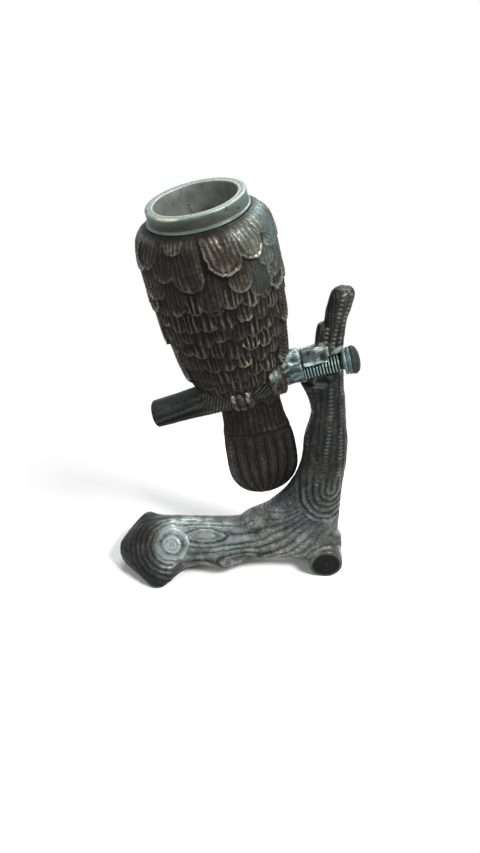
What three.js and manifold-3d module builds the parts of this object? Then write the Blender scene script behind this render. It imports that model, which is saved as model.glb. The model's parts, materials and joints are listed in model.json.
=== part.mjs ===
import * as THREE from 'three';
import { mergeVertices } from 'three/addons/utils/BufferGeometryUtils.js';
import Module from 'manifold-3d';

// Toothpick holder: a perched bird with an open cup in its body, on a cast tree.
// Millimetres, +Z up, X along the log, the bird's breast faces -Y.

// Gaps, cutting overruns and numerical limits
const clearance = 0.3;
const overrun = 2;
const weldDistance = 0.0001;

// Log: reach from its left tip to its right end, and its size across and up
const logTipX = -38.7;
const logLength = 71.5;
const logHalfDepth = 8;
const logHeight = 16.6;
const logGrainDepth = 0.35;
const logGrainCount = 8;
const logPointsPerGrain = 4;
const logRingCount = 30;

// Each row: along the log, front, back, bottom and top, as shares of the sizes above
const logStationShares = [
  [0.000, 0.40, 0.12, 0.24, 0.48],
  [0.018, 0.66, 0.40, 0.13, 0.58],
  [0.059, 0.96, 0.86, 0.06, 0.74],
  [0.108, 1.08, 1.06, 0.04, 0.88],
  [0.164, 1.10, 1.08, 0.04, 0.95],
  [0.234, 1.06, 1.02, 0.03, 1.01],
  [0.317, 1.03, 1.00, 0.03, 1.00],
  [0.429, 1.06, 0.98, 0.03, 1.00],
  [0.513, 1.05, 0.96, 0.05, 1.02],
  [0.597, 0.88, 0.93, 0.12, 1.06],
  [0.681, 0.80, 0.93, 0.16, 1.10],
  [0.793, 0.81, 0.92, 0.14, 1.10],
  [0.905, 0.80, 0.86, 0.10, 1.00],
  [0.968, 0.62, 0.72, 0.16, 0.82],
  [1.000, 0.30, 0.36, 0.34, 0.62],
];

// Swellings of the log: where along, which way round (degrees from +Y), how far out, how wide
const frontFootReach = 7.2;
const backFootReach = 4.6;
const backLobeReach = 2.6;
const frontBulgeReach = 1.1;
const rightFootReach = 4.9;
const logSwellings = [
  { along: 0.178, round: 212, reach: frontFootReach, alongSpread: 0.091, roundSpread: 27 },
  { along: 0.155, round: 316, reach: backFootReach, alongSpread: 0.060, roundSpread: 24 },
  { along: 0.110, round: 20, reach: backLobeReach, alongSpread: 0.055, roundSpread: 32 },
  { along: 0.485, round: 200, reach: frontBulgeReach, alongSpread: 0.060, roundSpread: 30 },
  { along: 0.900, round: 312, reach: rightFootReach, alongSpread: 0.055, roundSpread: 24 },
];

// Knots with ringed faces: one is the right front foot, one lies on the left end of the log
const footKnotRadius = 5.4;
const footKnotX = logTipX + logLength - footKnotRadius;
const footKnotHeight = 5.1;
const footKnotForward = 7.9;
const bossKnotFromTip = 17.3;
const bossKnotX = logTipX + bossKnotFromTip;
const bossKnotForward = 7.3;
const bossKnotHeight = 13.2;
const bossKnotRadius = 4.1;
const bossKnotTilt = 48;
const bossKnotTurn = 8;
const knotDepth = 6;
const knotRise = 0.45;
const knotSegments = 16;

// Face of a knot: radius as a share of the knot's, and how far the face lies below its rim
const knotFaceShares = [
  [1.00, 1],
  [0.94, 0],
  [0.80, 0],
  [0.70, 1],
  [0.52, 1],
  [0.44, 0],
  [0.30, 0],
  [0.20, 1],
  [0.00, 1],
];

// A point on the axis of the perch, which is the pivot axis too, and its rise to the right;
// the trunk stands to the right of that point and forks above it
const pivotFromEnd = 29.8;
const pivotX = logTipX + logLength - pivotFromEnd;
const pivotForward = 4;
const pivotZ = 70.9;
const perchSlope = 15.5;

// Trunk: its middle line, its half width and depth, and its height to the fork
const trunkFromPivot = 22;
const trunkX = pivotX + trunkFromPivot;
const trunkHalfWidth = 7;
const trunkHalfDepth = 6;
const forkRise = 11.6;
const trunkHeight = pivotZ + forkRise;
const trunkGrainDepth = 0.3;
const trunkGrainCount = 6;
const trunkPointsPerGrain = 4;
const trunkRingCount = 24;

// Each row: height, left edge, right edge (from the middle line) and depth, as shares
const trunkStationShares = [
  [0.110, -2.20, 0.90, 0.98],
  [0.190, -3.40, 0.92, 1.06],
  [0.232, -3.60, 0.92, 1.06],
  [0.266, -2.72, 0.92, 1.04],
  [0.299, -2.24, 0.92, 1.02],
  [0.332, -1.86, 0.92, 1.00],
  [0.364, -1.54, 0.93, 1.00],
  [0.400, -1.30, 0.95, 0.99],
  [0.436, -1.12, 0.97, 0.98],
  [0.485, -0.96, 1.01, 0.96],
  [0.533, -0.88, 1.03, 0.94],
  [0.582, -0.87, 1.00, 0.91],
  [0.630, -0.77, 0.94, 0.88],
  [0.679, -0.66, 0.86, 0.84],
  [0.727, -0.60, 0.79, 0.80],
  [0.776, -0.66, 0.73, 0.80],
  [0.812, -0.74, 0.65, 0.80],
  [0.848, -0.82, 0.61, 0.80],
  [0.873, -0.80, 0.58, 0.79],
  [0.921, -0.67, 0.55, 0.76],
  [0.970, -0.63, 0.50, 0.70],
  [1.000, -0.56, 0.40, 0.56],
];

// Broken stubs above the fork, rooted in the trunk below it
const stubRoot = 8.5;
const stubHalfDepth = 2.9;
const stubSides = 12;
const tallStubRise = 15.8;
const tallStubOffset = 0.6;
const tallStubHalfWidth = 3;
const tallStubShares = [
  [0.00, -0.94, 0.96, 0.90],
  [0.24, -0.98, 0.98, 1.00],
  [0.46, -1.00, 1.02, 1.00],
  [0.62, -0.92, 1.14, 0.98],
  [0.72, -0.88, 1.34, 0.96],
  [0.82, -0.72, 1.52, 0.96],
  [0.94, -0.46, 1.64, 0.92],
  [1.00, -0.10, 1.44, 0.66],
];
const shortStubRise = 5.1;
const shortStubOffset = 2.6;
const shortStubHalfWidth = 1.8;
const shortStubShares = [
  [0.00, -0.90, 1.10, 0.80],
  [0.40, -1.00, 1.20, 0.84],
  [0.70, -0.98, 1.14, 0.80],
  [0.92, -0.84, 0.90, 0.70],
  [1.00, -0.50, 0.50, 0.42],
];

// Bracket on the trunk below the boss of the perch
const bracketHeight = 13.6;
const bracketDrop = 1.3;
const bracketShares = [
  [0.00, -0.50, 0.20, 0.90],
  [0.30, -0.62, 0.20, 1.00],
  [0.60, -0.80, 0.20, 1.00],
  [0.82, -1.00, 0.20, 1.00],
  [0.95, -1.14, 0.20, 0.94],
  [1.00, -1.14, 0.20, 0.80],
];

// Perch, along the pivot axis from the point on it
const perchLeftReach = 29.2;
const perchLeft = -perchLeftReach;
const perchRight = 15.2;
const perchRadius = 4.4;
const bossShift = 2;
const perchDroop = 2.7;
const bossShiftDirection = 62;
const barkDepth = 0.22;
const barkRidgeCount = 7;
const perchSides = 21;
const perchRingCount = 13;
// Each row: along the perch, radius, how far the boss has shifted, how far the branch droops
const perchStationShares = [
  [0.000, 0.80, 0.00, 1.00],
  [0.020, 0.88, 0.00, 0.97],
  [0.200, 0.93, 0.00, 0.80],
  [0.380, 1.03, 0.00, 0.60],
  [0.560, 1.04, 0.00, 0.36],
  [0.700, 1.02, 0.10, 0.12],
  [0.860, 1.03, 0.80, 0.00],
  [0.930, 1.06, 1.00, 0.00],
  [0.985, 1.05, 1.00, 0.00],
  [1.000, 1.00, 1.00, 0.00],
];

// Saddle of the trunk for the ribbed shank: a lug behind it and a closed eye at its right end
const lugRight = 22.5;
const lugRadius = 4.4;
const eyeLeft = 25.2;
const eyeRight = 27.3;
const eyeRadius = 3.7;
const windowHalfHeight = 3.1;
const windowDepth = 12;
const trunkCutLength = 14;

// Pivot screw: ribbed shank, plain neck in the eye, threaded spigot in the boss, domed head
const shankRadius = 2.4;
const ribSpacing = 1.06;
const ribDepth = 0.45;
const spigotRadius = 1.6;
const spigotLength = 5.6;
const headRadius = 3.7;
const headBand = 1.1;
const headDome = 1.2;
const washerThickness = 0.7;
const washerRadius = 3.3;
const shankSegments = 12;
const headRingCount = 4;

// One rib: place along its pitch, and how deep, as shares
const ribShares = [
  [0.08, 0],
  [0.50, 0],
  [0.62, 1],
  [0.96, 1],
];

// Bird: place of the middle of the neck ring's top from the pivot, and the lean of the body
const birdToLeft = 14.2;
const birdRise = 51.8;
const birdX = pivotX - birdToLeft;
const birdZ = pivotZ + birdRise;
const birdLean = 12.1;

// Neck ring, measured down from its top
const collarRadius = 13;
const collarWall = 1.2;
const collarHeight = 3.3;
const collarFlangeRadius = 13.6;
const collarFlangeThickness = 0.7;
const collarSpigot = 4;
const collarEdge = 0.25;
const collarSegments = 32;

// Cup inside the ring and the body
const cupWall = 0.5;
const cupDrop = 0.5;
const cupBottom = 44.7;
const cupFloor = 0.8;
const cupBottomTaper = 1.3;
const cupSegments = 32;
const hollowSegments = 24;
const hollowSteps = 8;

// Body, from the flange seat down to the end of the tail coverts
const bodyTop = collarHeight + collarFlangeThickness + clearance;
const bodyBottom = 75;
const bodyHalfWidth = 18.1;
const bodyHalfDepth = 17.5;
const bodyWall = 2.2;
const bodyColumns = 48;
const skirtBack = 4;
const skirtToRight = 0.6;
const bellyEdge = 0.5;
const bodyEdgeShare = 0.012;
const firstFeatherShare = 0.03;

// Each row: depth below the ring as a share of the body's reach, half width, half depth
// and how far the middle has moved back, as shares of the sizes above
const bodyProfileShares = [
  [0.000, 0.875, 0.875, 0.00],
  [0.017, 0.910, 0.910, 0.00],
  [0.055, 0.940, 0.940, 0.00],
  [0.136, 0.970, 0.970, 0.00],
  [0.220, 0.955, 0.965, 0.00],
  [0.334, 0.932, 0.930, 0.00],
  [0.447, 0.882, 0.870, 0.00],
  [0.546, 0.826, 0.790, 0.00],
  [0.631, 0.752, 0.690, 0.06],
  [0.702, 0.656, 0.580, 0.24],
  [0.759, 0.560, 0.430, 0.56],
  [0.801, 0.510, 0.300, 0.86],
  [0.844, 0.482, 0.215, 1.00],
  [0.887, 0.486, 0.172, 1.00],
  [0.940, 0.505, 0.166, 1.00],
  [1.000, 0.560, 0.150, 1.00],
];

// Feather rows: where their tips end (share of the body's reach) and how many go round
const featherRise = 0.75;
const featherScallop = 3.2;
const featherCrown = 0.35;
const featherStep = 0.45;
const featherRingShares = [0.02, 0.55, 1];
const featherRows = [
  { tipShare: 0.225, count: 12, scallopShare: 1.0 },
  { tipShare: 0.365, count: 12, scallopShare: 1.0 },
  { tipShare: 0.480, count: 12, scallopShare: 0.8 },
  { tipShare: 0.580, count: 12, scallopShare: 0.8 },
  { tipShare: 0.670, count: 12, scallopShare: 0.7 },
  { tipShare: 0.760, count: 12, scallopShare: 0.6 },
];
const skirtRingCount = 5;
const skirtRelief = 0.12;

// Tail, below the ring like the body: its tang, its blade and its tip
const tangTop = 67;
const tangWidthShare = 0.376;
const tangHalfWidth = tangWidthShare * bodyHalfWidth;
const tangThickness = 1.6;
const tailTip = 98.6;
const tailHalfWidth = 10.8;
const tailDrift = 1.8;
const tailThickness = 2;
const tailArch = 1.3;
const tailFeathers = 7;
const tailPointsPerFeather = 3;
const tailFlute = 0.3;
const tailTaperShare = 0.4;
const tailEdgeShare = 0.5;
const tailArchGrowth = 2;
const tailFluteGrowth = 4;
const tailOutlineShares = [
  [0.00, 0.940],
  [0.14, 0.980],
  [0.30, 0.995],
  [0.45, 1.000],
  [0.60, 0.970],
  [0.72, 0.890],
  [0.83, 0.750],
  [0.92, 0.560],
  [0.97, 0.370],
  [1.00, 0.160],
];

// Rivets through the coverts and the tang
const rivetRadius = 0.8;
const rivetHeadRadius = 1.4;
const rivetHeadHeight = 0.7;
const rivetSpreadShare = 0.59;
const rivetSpread = rivetSpreadShare * tangHalfWidth;
const rivetDown = (tangTop + bodyBottom) / 2;
const rivetSegments = 12;

// Head of a rivet: shares of its radius and height
const rivetHeadShares = [
  [1.00, 0.0],
  [0.75, 0.7],
  [0.30, 1.0],
  [0.00, 1.0],
];

// Screws from under the perch into the body; their places are shares of its half width
const bodyScrewPlaceShares = [-0.287, 0.177];
const bodyScrewPlaces = bodyScrewPlaceShares.map((share) => share * bodyHalfWidth);
const bodyScrewRadius = 1.3;
const bodyScrewHeadRadius = 2.2;
const bodyScrewHead = 1.4;
const bodyScrewSink = 0.2;
const bodyScrewReach = 8.1;
const screwSegments = 16;

// Feet: their places are shares of the body's half width
const leftFootWidth = 6.4;
const rightFootWidth = 5;
const footThickness = 2.1;
const footEndShare = 0.12;
const footNarrowShare = 0.25;
const footEdgeShare = 0.25;
const toeCount = 3;
const toePoints = 9;
const toeRelief = 0.45;
const footPegRadius = 0.9;
const footPegLength = 2;
const footRingCount = 9;

// Each foot with the arc that it grips (degrees from the top to the front)
const feet = [
  { name: 'left_foot', placeShare: -0.16, width: leftFootWidth, from: 58, to: 150 },
  { name: 'right_foot', placeShare: 0.425, width: rightFootWidth, from: 22, to: 128 },
];

// Colours and finishes
const bronzeFinish = { color: 0x33302c, roughness: 0.5, metalness: 0.85 };
const patinaFinish = { color: 0x59605d, roughness: 0.6, metalness: 0.8 };
const ringFinish = { color: 0x8d968c, roughness: 0.4, metalness: 0.9 };
const screwFinish = { color: 0x4d5c5c, roughness: 0.5, metalness: 0.85 };

// Solids
const wasm = await Module();
wasm.setup();

// Plain triangles with shared corners, no flat ones, facing out
function plainMesh(geometry) {
  const bare = geometry.clone();
  bare.deleteAttribute('normal');
  bare.deleteAttribute('uv');
  const merged = mergeVertices(bare, weldDistance);
  const points = merged.attributes.position.array;
  const corners = [];
  for (let i = 0; i < merged.index.count; i += 3) {
    const [a, b, c] = [merged.index.getX(i), merged.index.getX(i + 1), merged.index.getX(i + 2)];
    if (a !== b && b !== c && c !== a) {
      corners.push(a, b, c);
    }
  }
  if (signedVolume(points, corners) < 0) {
    corners.reverse();
  }
  return { points: Float32Array.from(points), corners: Uint32Array.from(corners) };
}

function signedVolume(points, corners) {
  const [a, b, c] = [new THREE.Vector3(), new THREE.Vector3(), new THREE.Vector3()];
  let volume = 0;
  for (let i = 0; i < corners.length; i += 3) {
    a.fromArray(points, 3 * corners[i]);
    b.fromArray(points, 3 * corners[i + 1]);
    c.fromArray(points, 3 * corners[i + 2]);
    volume += a.dot(b.cross(c)) / 6;
  }
  return volume;
}

function solid(geometry) {
  const { points, corners } = plainMesh(geometry);
  return new wasm.Manifold(new wasm.Mesh({ numProp: 3, vertProperties: points, triVerts: corners }));
}

function geometryOf(shape) {
  const mesh = shape.getMesh();
  const geometry = new THREE.BufferGeometry();
  geometry.setAttribute('position', new THREE.BufferAttribute(mesh.vertProperties, 3));
  geometry.setIndex(new THREE.BufferAttribute(mesh.triVerts, 1));
  geometry.computeVertexNormals();
  return geometry;
}

// A skin over a row of closed rings of points, with a fan over each end
function skin(rings) {
  const count = rings[0].length;
  const points = rings.flat();
  const corners = [];
  for (let ring = 0; ring + 1 < rings.length; ring += 1) {
    for (let step = 0; step < count; step += 1) {
      const a = ring * count + step;
      const b = ring * count + (step + 1) % count;
      corners.push(a, b, b + count, a, b + count, a + count);
    }
  }
  capEnd(points, corners, 0, count, true);
  capEnd(points, corners, (rings.length - 1) * count, count, false);
  const geometry = new THREE.BufferGeometry();
  geometry.setFromPoints(points);
  geometry.setIndex(corners);
  return geometry;
}

function capEnd(points, corners, first, count, isStart) {
  const middle = new THREE.Vector3();
  for (let step = 0; step < count; step += 1) {
    middle.add(points[first + step]);
  }
  points.push(middle.divideScalar(count));
  const centre = points.length - 1;
  for (let step = 0; step < count; step += 1) {
    const here = first + step;
    const next = first + (step + 1) % count;
    corners.push(...(isStart ? [centre, next, here] : [centre, here, next]));
  }
}

// A turned piece about Z from a closed outline of (radius, height) pairs
function turned(outline, segments) {
  const points = outline.map(([radius, height]) => new THREE.Vector2(radius, height));
  if (THREE.ShapeUtils.area(points) < 0) {
    points.reverse();
  }
  points.push(points[0].clone());
  return new THREE.LatheGeometry(points, segments).rotateX(Math.PI / 2);
}

// The same about X, from (radius, place along X) pairs
function turnedAlongX(outline, segments) {
  return turned(outline, segments).rotateY(Math.PI / 2);
}

function block(x0, x1, y0, y1, z0, z1) {
  const box = new THREE.BoxGeometry(x1 - x0, y1 - y0, z1 - z0);
  return box.translate((x0 + x1) / 2, (y0 + y1) / 2, (z0 + z1) / 2);
}

// Values between the rows of a table of shares, on a smooth curve through them
function sampled(table, at) {
  const last = table.length - 1;
  let row = 0;
  while (row < last - 1 && table[row + 1][0] < at) {
    row += 1;
  }
  const [p, q] = [table[row], table[row + 1]];
  const t = THREE.MathUtils.clamp((at - p[0]) / (q[0] - p[0]), 0, 1);
  const before = table[Math.max(row - 1, 0)];
  const after = table[Math.min(row + 2, last)];
  return p.slice(1).map((value, column) => {
    const k = column + 1;
    const slopeIn = (q[k] - before[k]) / (q[0] - before[0]) * (q[0] - p[0]);
    const slopeOut = (after[k] - p[k]) / (after[0] - p[0]) * (q[0] - p[0]);
    return hermite(value, q[k], slopeIn, slopeOut, t);
  });
}

function hermite(from, to, slopeIn, slopeOut, t) {
  const rest = 1 - t;
  const start = rest * rest * (1 + 2 * t) * from + t * rest * rest * slopeIn;
  return start + t * t * (3 - 2 * t) * to - t * t * rest * slopeOut;
}

// Places from 0 to 1 that lie closer together near both ends
function crowded(step, count) {
  const even = step / (count - 1);
  const smooth = (1 - Math.cos(Math.PI * even)) / 2;
  return (even + smooth) / 2;
}

// One swelling's push at a place on the log
function swell(spot, along, degrees) {
  const away = THREE.MathUtils.euclideanModulo(degrees - spot.round + 180, 360) - 180;
  const alongPart = (along - spot.along) / spot.alongSpread;
  const roundPart = away / spot.roundSpread;
  return spot.reach * Math.exp(-alongPart * alongPart - roundPart * roundPart);
}

// Log, lofted along X
function logRing(along) {
  const [front, back, bottom, top] = sampled(logStationShares, along);
  const middleY = (back - front) * logHalfDepth / 2;
  const halfY = (back + front) * logHalfDepth / 2;
  const middleZ = (top + bottom) * logHeight / 2;
  const halfZ = (top - bottom) * logHeight / 2;
  const ring = [];
  const count = logGrainCount * logPointsPerGrain;
  for (let step = 0; step < count; step += 1) {
    const round = 2 * Math.PI * step / count;
    const degrees = 360 * step / count;
    let push = logGrainDepth * Math.cos(logGrainCount * round + Math.PI * along);
    for (const spot of logSwellings) {
      push += swell(spot, along, degrees);
    }
    const y = middleY + (halfY + push) * Math.cos(round);
    const z = middleZ + (halfZ + push) * Math.sin(round);
    ring.push(new THREE.Vector3(logTipX + logLength * along, y, z));
  }
  return ring;
}

function logSolid() {
  const rings = [];
  for (let ring = 0; ring < logRingCount; ring += 1) {
    rings.push(logRing(crowded(ring, logRingCount)));
  }
  return solid(skin(rings));
}

// Trunk and stubs, lofted upward
function uprightRing(height, left, right, halfDepth, count, grainCount, grainDepth) {
  const ring = [];
  for (let step = 0; step < count; step += 1) {
    const round = 2 * Math.PI * step / count;
    const push = grainDepth * Math.cos(grainCount * round);
    const x = (left + right) / 2 + ((right - left) / 2 + push) * Math.cos(round);
    ring.push(new THREE.Vector3(x, (halfDepth + push) * Math.sin(round), height));
  }
  return ring;
}

function trunkSolid() {
  const rings = [];
  const count = trunkGrainCount * trunkPointsPerGrain;
  const firstShare = trunkStationShares[0][0];
  for (let ring = 0; ring < trunkRingCount; ring += 1) {
    const share = firstShare + (1 - firstShare) * ring / (trunkRingCount - 1);
    const [left, right, depth] = sampled(trunkStationShares, share);
    rings.push(uprightRing(share * trunkHeight, trunkX + left * trunkHalfWidth,
      trunkX + right * trunkHalfWidth, depth * trunkHalfDepth, count,
      trunkGrainCount, trunkGrainDepth));
  }
  return solid(skin(rings));
}

// Plain upright piece of the tree from a table of shares
function uprightSolid(base, top, middle, halfWidth, table) {
  const rings = table.map(([share, left, right, depth]) => uprightRing(
    base + share * (top - base), middle + left * halfWidth, middle + right * halfWidth,
    depth * stubHalfDepth, stubSides, 0, 0));
  return solid(skin(rings));
}

function stubSolid(rise, offset, halfWidth, table) {
  return uprightSolid(trunkHeight - stubRoot, trunkHeight + rise, trunkX + offset,
    halfWidth, table);
}

function bracketSolid() {
  const top = pivotZ - bracketDrop;
  return uprightSolid(top - bracketHeight, top, trunkX, trunkHalfWidth, bracketShares);
}

// A short cylinder with a ringed face, its face pointing up before it is placed
function knot(radius, depth) {
  const outline = [[0, -depth], [radius, -depth]];
  for (const [radiusShare, depthShare] of knotFaceShares) {
    outline.push([radius * radiusShare, -knotRise * depthShare]);
  }
  return turned(outline, knotSegments);
}

function footKnot() {
  const face = knot(footKnotRadius, knotDepth).rotateX(Math.PI / 2);
  return solid(face.translate(footKnotX, -footKnotForward, footKnotHeight));
}

function bossKnot() {
  const face = knot(bossKnotRadius, knotDepth).rotateX(THREE.MathUtils.degToRad(bossKnotTilt));
  face.rotateZ(THREE.MathUtils.degToRad(-bossKnotTurn));
  return solid(face.translate(bossKnotX, -bossKnotForward, bossKnotHeight));
}

// Middle and radius of the branch at a place along the pivot axis
function branchAt(x) {
  const share = (x - perchLeft) / (perchRight - perchLeft);
  const [radiusShare, shiftShare, droopShare] = sampled(perchStationShares, share);
  const direction = THREE.MathUtils.degToRad(bossShiftDirection);
  const y = shiftShare * bossShift * Math.cos(direction);
  const z = shiftShare * bossShift * Math.sin(direction) - droopShare * perchDroop;
  return { y, z, radius: radiusShare * perchRadius };
}

function barkRing(x, middle, radius) {
  const share = (x - perchLeft) / (perchRight - perchLeft);
  const ring = [];
  for (let step = 0; step < perchSides; step += 1) {
    const round = 2 * Math.PI * step / perchSides;
    const ridge = barkDepth * Math.cos(barkRidgeCount * round + Math.PI * share);
    const y = middle.y + (radius + ridge) * Math.cos(round);
    const z = middle.z + (radius + ridge) * Math.sin(round);
    ring.push(new THREE.Vector3(x, y, z));
  }
  return ring;
}

// Perch, lofted along the pivot axis; grow gives room round it for a seat
function perchSkin(grow) {
  const rings = [];
  for (let ring = 0; ring < perchRingCount; ring += 1) {
    const x = perchLeft + crowded(ring, perchRingCount) * (perchRight - perchLeft);
    const middle = branchAt(x);
    rings.push(barkRing(x, middle, middle.radius + grow));
  }
  return skin(rings);
}

function rod(radius, from, to, segments) {
  return turnedAlongX([[0, from], [radius, from], [radius, to], [0, to]], segments);
}

function perchPiece() {
  let shape = solid(perchSkin(0));
  const holeStart = perchRight - spigotLength - clearance;
  shape = shape.subtract(solid(rod(spigotRadius + clearance, holeStart,
    perchRight + overrun, screwSegments)));
  for (const place of bodyScrewPlaces) {
    shape = shape.subtract(solid(bodyScrewHole(place)));
  }
  for (const foot of feet) {
    shape = shape.subtract(solid(footPeg(foot, clearance)));
  }
  return geometryOf(shape);
}

// Screws from below: the head is let into the underside of the perch
function bodyScrewEnds(place) {
  const middle = branchAt(place);
  const headBottom = middle.z - middle.radius + bodyScrewSink;
  return { headBottom, headTop: headBottom + bodyScrewHead, tip: bodyScrewReach };
}

function bodyScrewHole(place) {
  const { headBottom, headTop, tip } = bodyScrewEnds(place);
  const outline = [
    [0, headBottom - overrun],
    [bodyScrewHeadRadius + clearance, headBottom - overrun],
    [bodyScrewHeadRadius + clearance, headTop + clearance],
    [bodyScrewRadius + clearance, headTop + clearance],
    [bodyScrewRadius + clearance, tip + clearance],
    [0, tip + clearance],
  ];
  return turned(outline, screwSegments).translate(place, 0, 0);
}

function bodyScrewPiece(place) {
  const { headBottom, headTop, tip } = bodyScrewEnds(place);
  const outline = [
    [0, headBottom],
    [bodyScrewHeadRadius, headBottom],
    [bodyScrewHeadRadius, headTop],
    [bodyScrewRadius, headTop],
    [bodyScrewRadius, tip - bodyScrewRadius],
    [bodyScrewRadius / 2, tip],
    [0, tip],
  ];
  return turned(outline, screwSegments);
}

function footPlace(foot) {
  return foot.placeShare * bodyHalfWidth;
}

// Foot: three toes curled round the front of the perch, on a peg let into it; grow gives
// room round it in every direction
function footRing(foot, share, grow) {
  const place = footPlace(foot);
  const middle = branchAt(place);
  const seat = middle.radius + barkDepth + clearance;
  const endTurn = grow / seat * Math.sign(share - 1 / 2);
  const degrees = THREE.MathUtils.lerp(foot.from, foot.to, share);
  const angle = THREE.MathUtils.degToRad(degrees) + endTurn;
  const swelling = THREE.MathUtils.lerp(footEndShare, 1 - footEndShare, share);
  const fade = Math.sqrt(Math.sin(Math.PI * swelling));
  const half = foot.width / 2 * THREE.MathUtils.lerp(1, fade, footNarrowShare) + grow;
  const inner = grow > 0 ? middle.radius : seat;
  const ring = [];
  for (let point = 0; point < toePoints; point += 1) {
    const across = 2 * point / (toePoints - 1) - 1;
    const toe = toeRelief * (Math.cos(toeCount * Math.PI * across) - 1) / 2;
    const edge = 1 - footEdgeShare * across ** 4;
    const reach = seat + (footThickness * fade + toe) * edge + grow;
    ring.push(footPoint(place + across * half, middle, angle, reach));
  }
  ring.push(footPoint(place + half, middle, angle, inner));
  ring.push(footPoint(place - half, middle, angle, inner));
  return ring;
}

function footPoint(x, middle, angle, radius) {
  const y = middle.y - radius * Math.sin(angle);
  return new THREE.Vector3(x, y, middle.z + radius * Math.cos(angle));
}

function footSkin(foot, grow) {
  const rings = [];
  for (let ring = 0; ring < footRingCount; ring += 1) {
    rings.push(footRing(foot, ring / (footRingCount - 1), grow));
  }
  return skin(rings);
}

function footPeg(foot, grow) {
  const angle = THREE.MathUtils.degToRad((foot.from + foot.to) / 2);
  const place = footPlace(foot);
  const middle = branchAt(place);
  const from = middle.radius - footPegLength - grow;
  const to = middle.radius + footThickness / 2 + clearance;
  const radius = footPegRadius + grow;
  const peg = turned([[0, from], [radius, from], [radius, to], [0, to]], rivetSegments);
  return peg.rotateX(angle).translate(place, middle.y, middle.z);
}

function footPiece(foot) {
  return geometryOf(solid(footSkin(foot, 0)).add(solid(footPeg(foot, 0))));
}

// Pivot screw, all along the pivot axis
function pivotScrewPiece() {
  const shankStart = perchRight + clearance;
  const outline = [
    [0, perchRight - spigotLength],
    [spigotRadius, perchRight - spigotLength],
    [spigotRadius, shankStart],
  ];
  const ribCount = Math.floor((eyeLeft - shankStart) / ribSpacing);
  for (let rib = 0; rib < ribCount; rib += 1) {
    const x = shankStart + rib * ribSpacing;
    for (const [placeShare, depthShare] of ribShares) {
      outline.push([shankRadius - depthShare * ribDepth, x + placeShare * ribSpacing]);
    }
  }
  const headStart = eyeRight + washerThickness + 2 * clearance;
  outline.push([shankRadius, eyeLeft]);
  outline.push([shankRadius, headStart]);
  outline.push([headRadius, headStart]);
  for (let ring = 0; ring < headRingCount; ring += 1) {
    const angle = Math.PI / 2 * ring / headRingCount;
    outline.push([headRadius * Math.cos(angle), headStart + headBand + headDome * Math.sin(angle)]);
  }
  outline.push([0, headStart + headBand + headDome]);
  return turnedAlongX(outline, shankSegments);
}

function pivotWasherPiece() {
  const from = eyeRight + clearance;
  const to = from + washerThickness;
  const bore = shankRadius + clearance;
  const bevel = washerThickness / 4;
  return turnedAlongX([
    [bore, from],
    [washerRadius - bevel, from],
    [washerRadius, from + bevel],
    [washerRadius, to - bevel],
    [washerRadius - bevel, to],
    [bore, to],
  ], shankSegments);
}

// Groups carry the leaning frames; pieces that meet are cut in the frame of the piece
function frameAt(x, y, z, degrees) {
  const frame = new THREE.Group();
  frame.position.set(x, y, z);
  frame.rotation.y = THREE.MathUtils.degToRad(degrees);
  frame.updateMatrix();
  return frame;
}

const treeFrame = frameAt(0, 0, 0, 0);
const perchFrame = frameAt(pivotX, -pivotForward, pivotZ, -perchSlope);
const birdFrame = frameAt(birdX, 0, birdZ, -birdLean);

function carried(geometry, from, to) {
  const matrix = to.matrix.clone().invert().multiply(from.matrix);
  return solid(geometry.clone().applyMatrix4(matrix));
}

// Tree: log, trunk, stubs, knots and lug in one casting, cut for the screw and flat below
function lugSkin() {
  const middle = branchAt(perchRight);
  const places = [perchRight + clearance, (perchRight + lugRight) / 2, lugRight];
  return skin(places.map((x) => barkRing(x, middle, lugRadius)));
}

function treePiece() {
  let shape = logSolid().add(trunkSolid());
  shape = shape.add(stubSolid(tallStubRise, tallStubOffset, tallStubHalfWidth, tallStubShares));
  shape = shape.add(stubSolid(shortStubRise, -shortStubOffset, shortStubHalfWidth,
    shortStubShares));
  shape = shape.add(bracketSolid());
  shape = shape.add(footKnot()).add(bossKnot());
  shape = shape.add(carried(lugSkin(), perchFrame, treeFrame));
  const eye = rod(eyeRadius, eyeLeft, eyeRight, shankSegments);
  shape = shape.add(carried(eye, perchFrame, treeFrame));
  for (const cutter of treeCutters()) {
    shape = shape.subtract(carried(cutter, perchFrame, treeFrame));
  }
  const under = block(logTipX - logLength, logTipX + 2 * logLength, -logLength, logLength,
    -logHeight, 0);
  return geometryOf(shape.subtract(solid(under)));
}

function treeCutters() {
  const bore = shankRadius + clearance;
  const windowLeft = perchRight - overrun;
  return [
    rod(bore, windowLeft, eyeRight + overrun, shankSegments),
    block(windowLeft, eyeLeft, -windowDepth, -clearance, -windowHalfHeight, windowHalfHeight),
    rod(headRadius + clearance, eyeRight, eyeRight + trunkCutLength, shankSegments),
  ];
}

// Bird's body: outer skin with rows of overlapping feathers, all below the ring's top
function bodyReach(share) {
  return bodyTop + share * (bodyBottom - bodyTop);
}

function bodyPoint(share, column, rise) {
  const [widthShare, depthShare, backShare] = sampled(bodyProfileShares, share);
  const round = 2 * Math.PI * column / bodyColumns;
  const x = backShare * skirtToRight + (widthShare * bodyHalfWidth + rise) * Math.sin(round);
  const y = backShare * skirtBack - (depthShare * bodyHalfDepth + rise) * Math.cos(round);
  return new THREE.Vector3(x, y, -bodyReach(share));
}

// Place across the feather at a column: 0 on its spine, 1 at its edge
function acrossFeather(row, index, column) {
  const offset = index % 2 === 0 ? 0 : 0.5;
  const place = column * row.count / bodyColumns + offset;
  return Math.abs(2 * (place - Math.round(place)));
}

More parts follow.
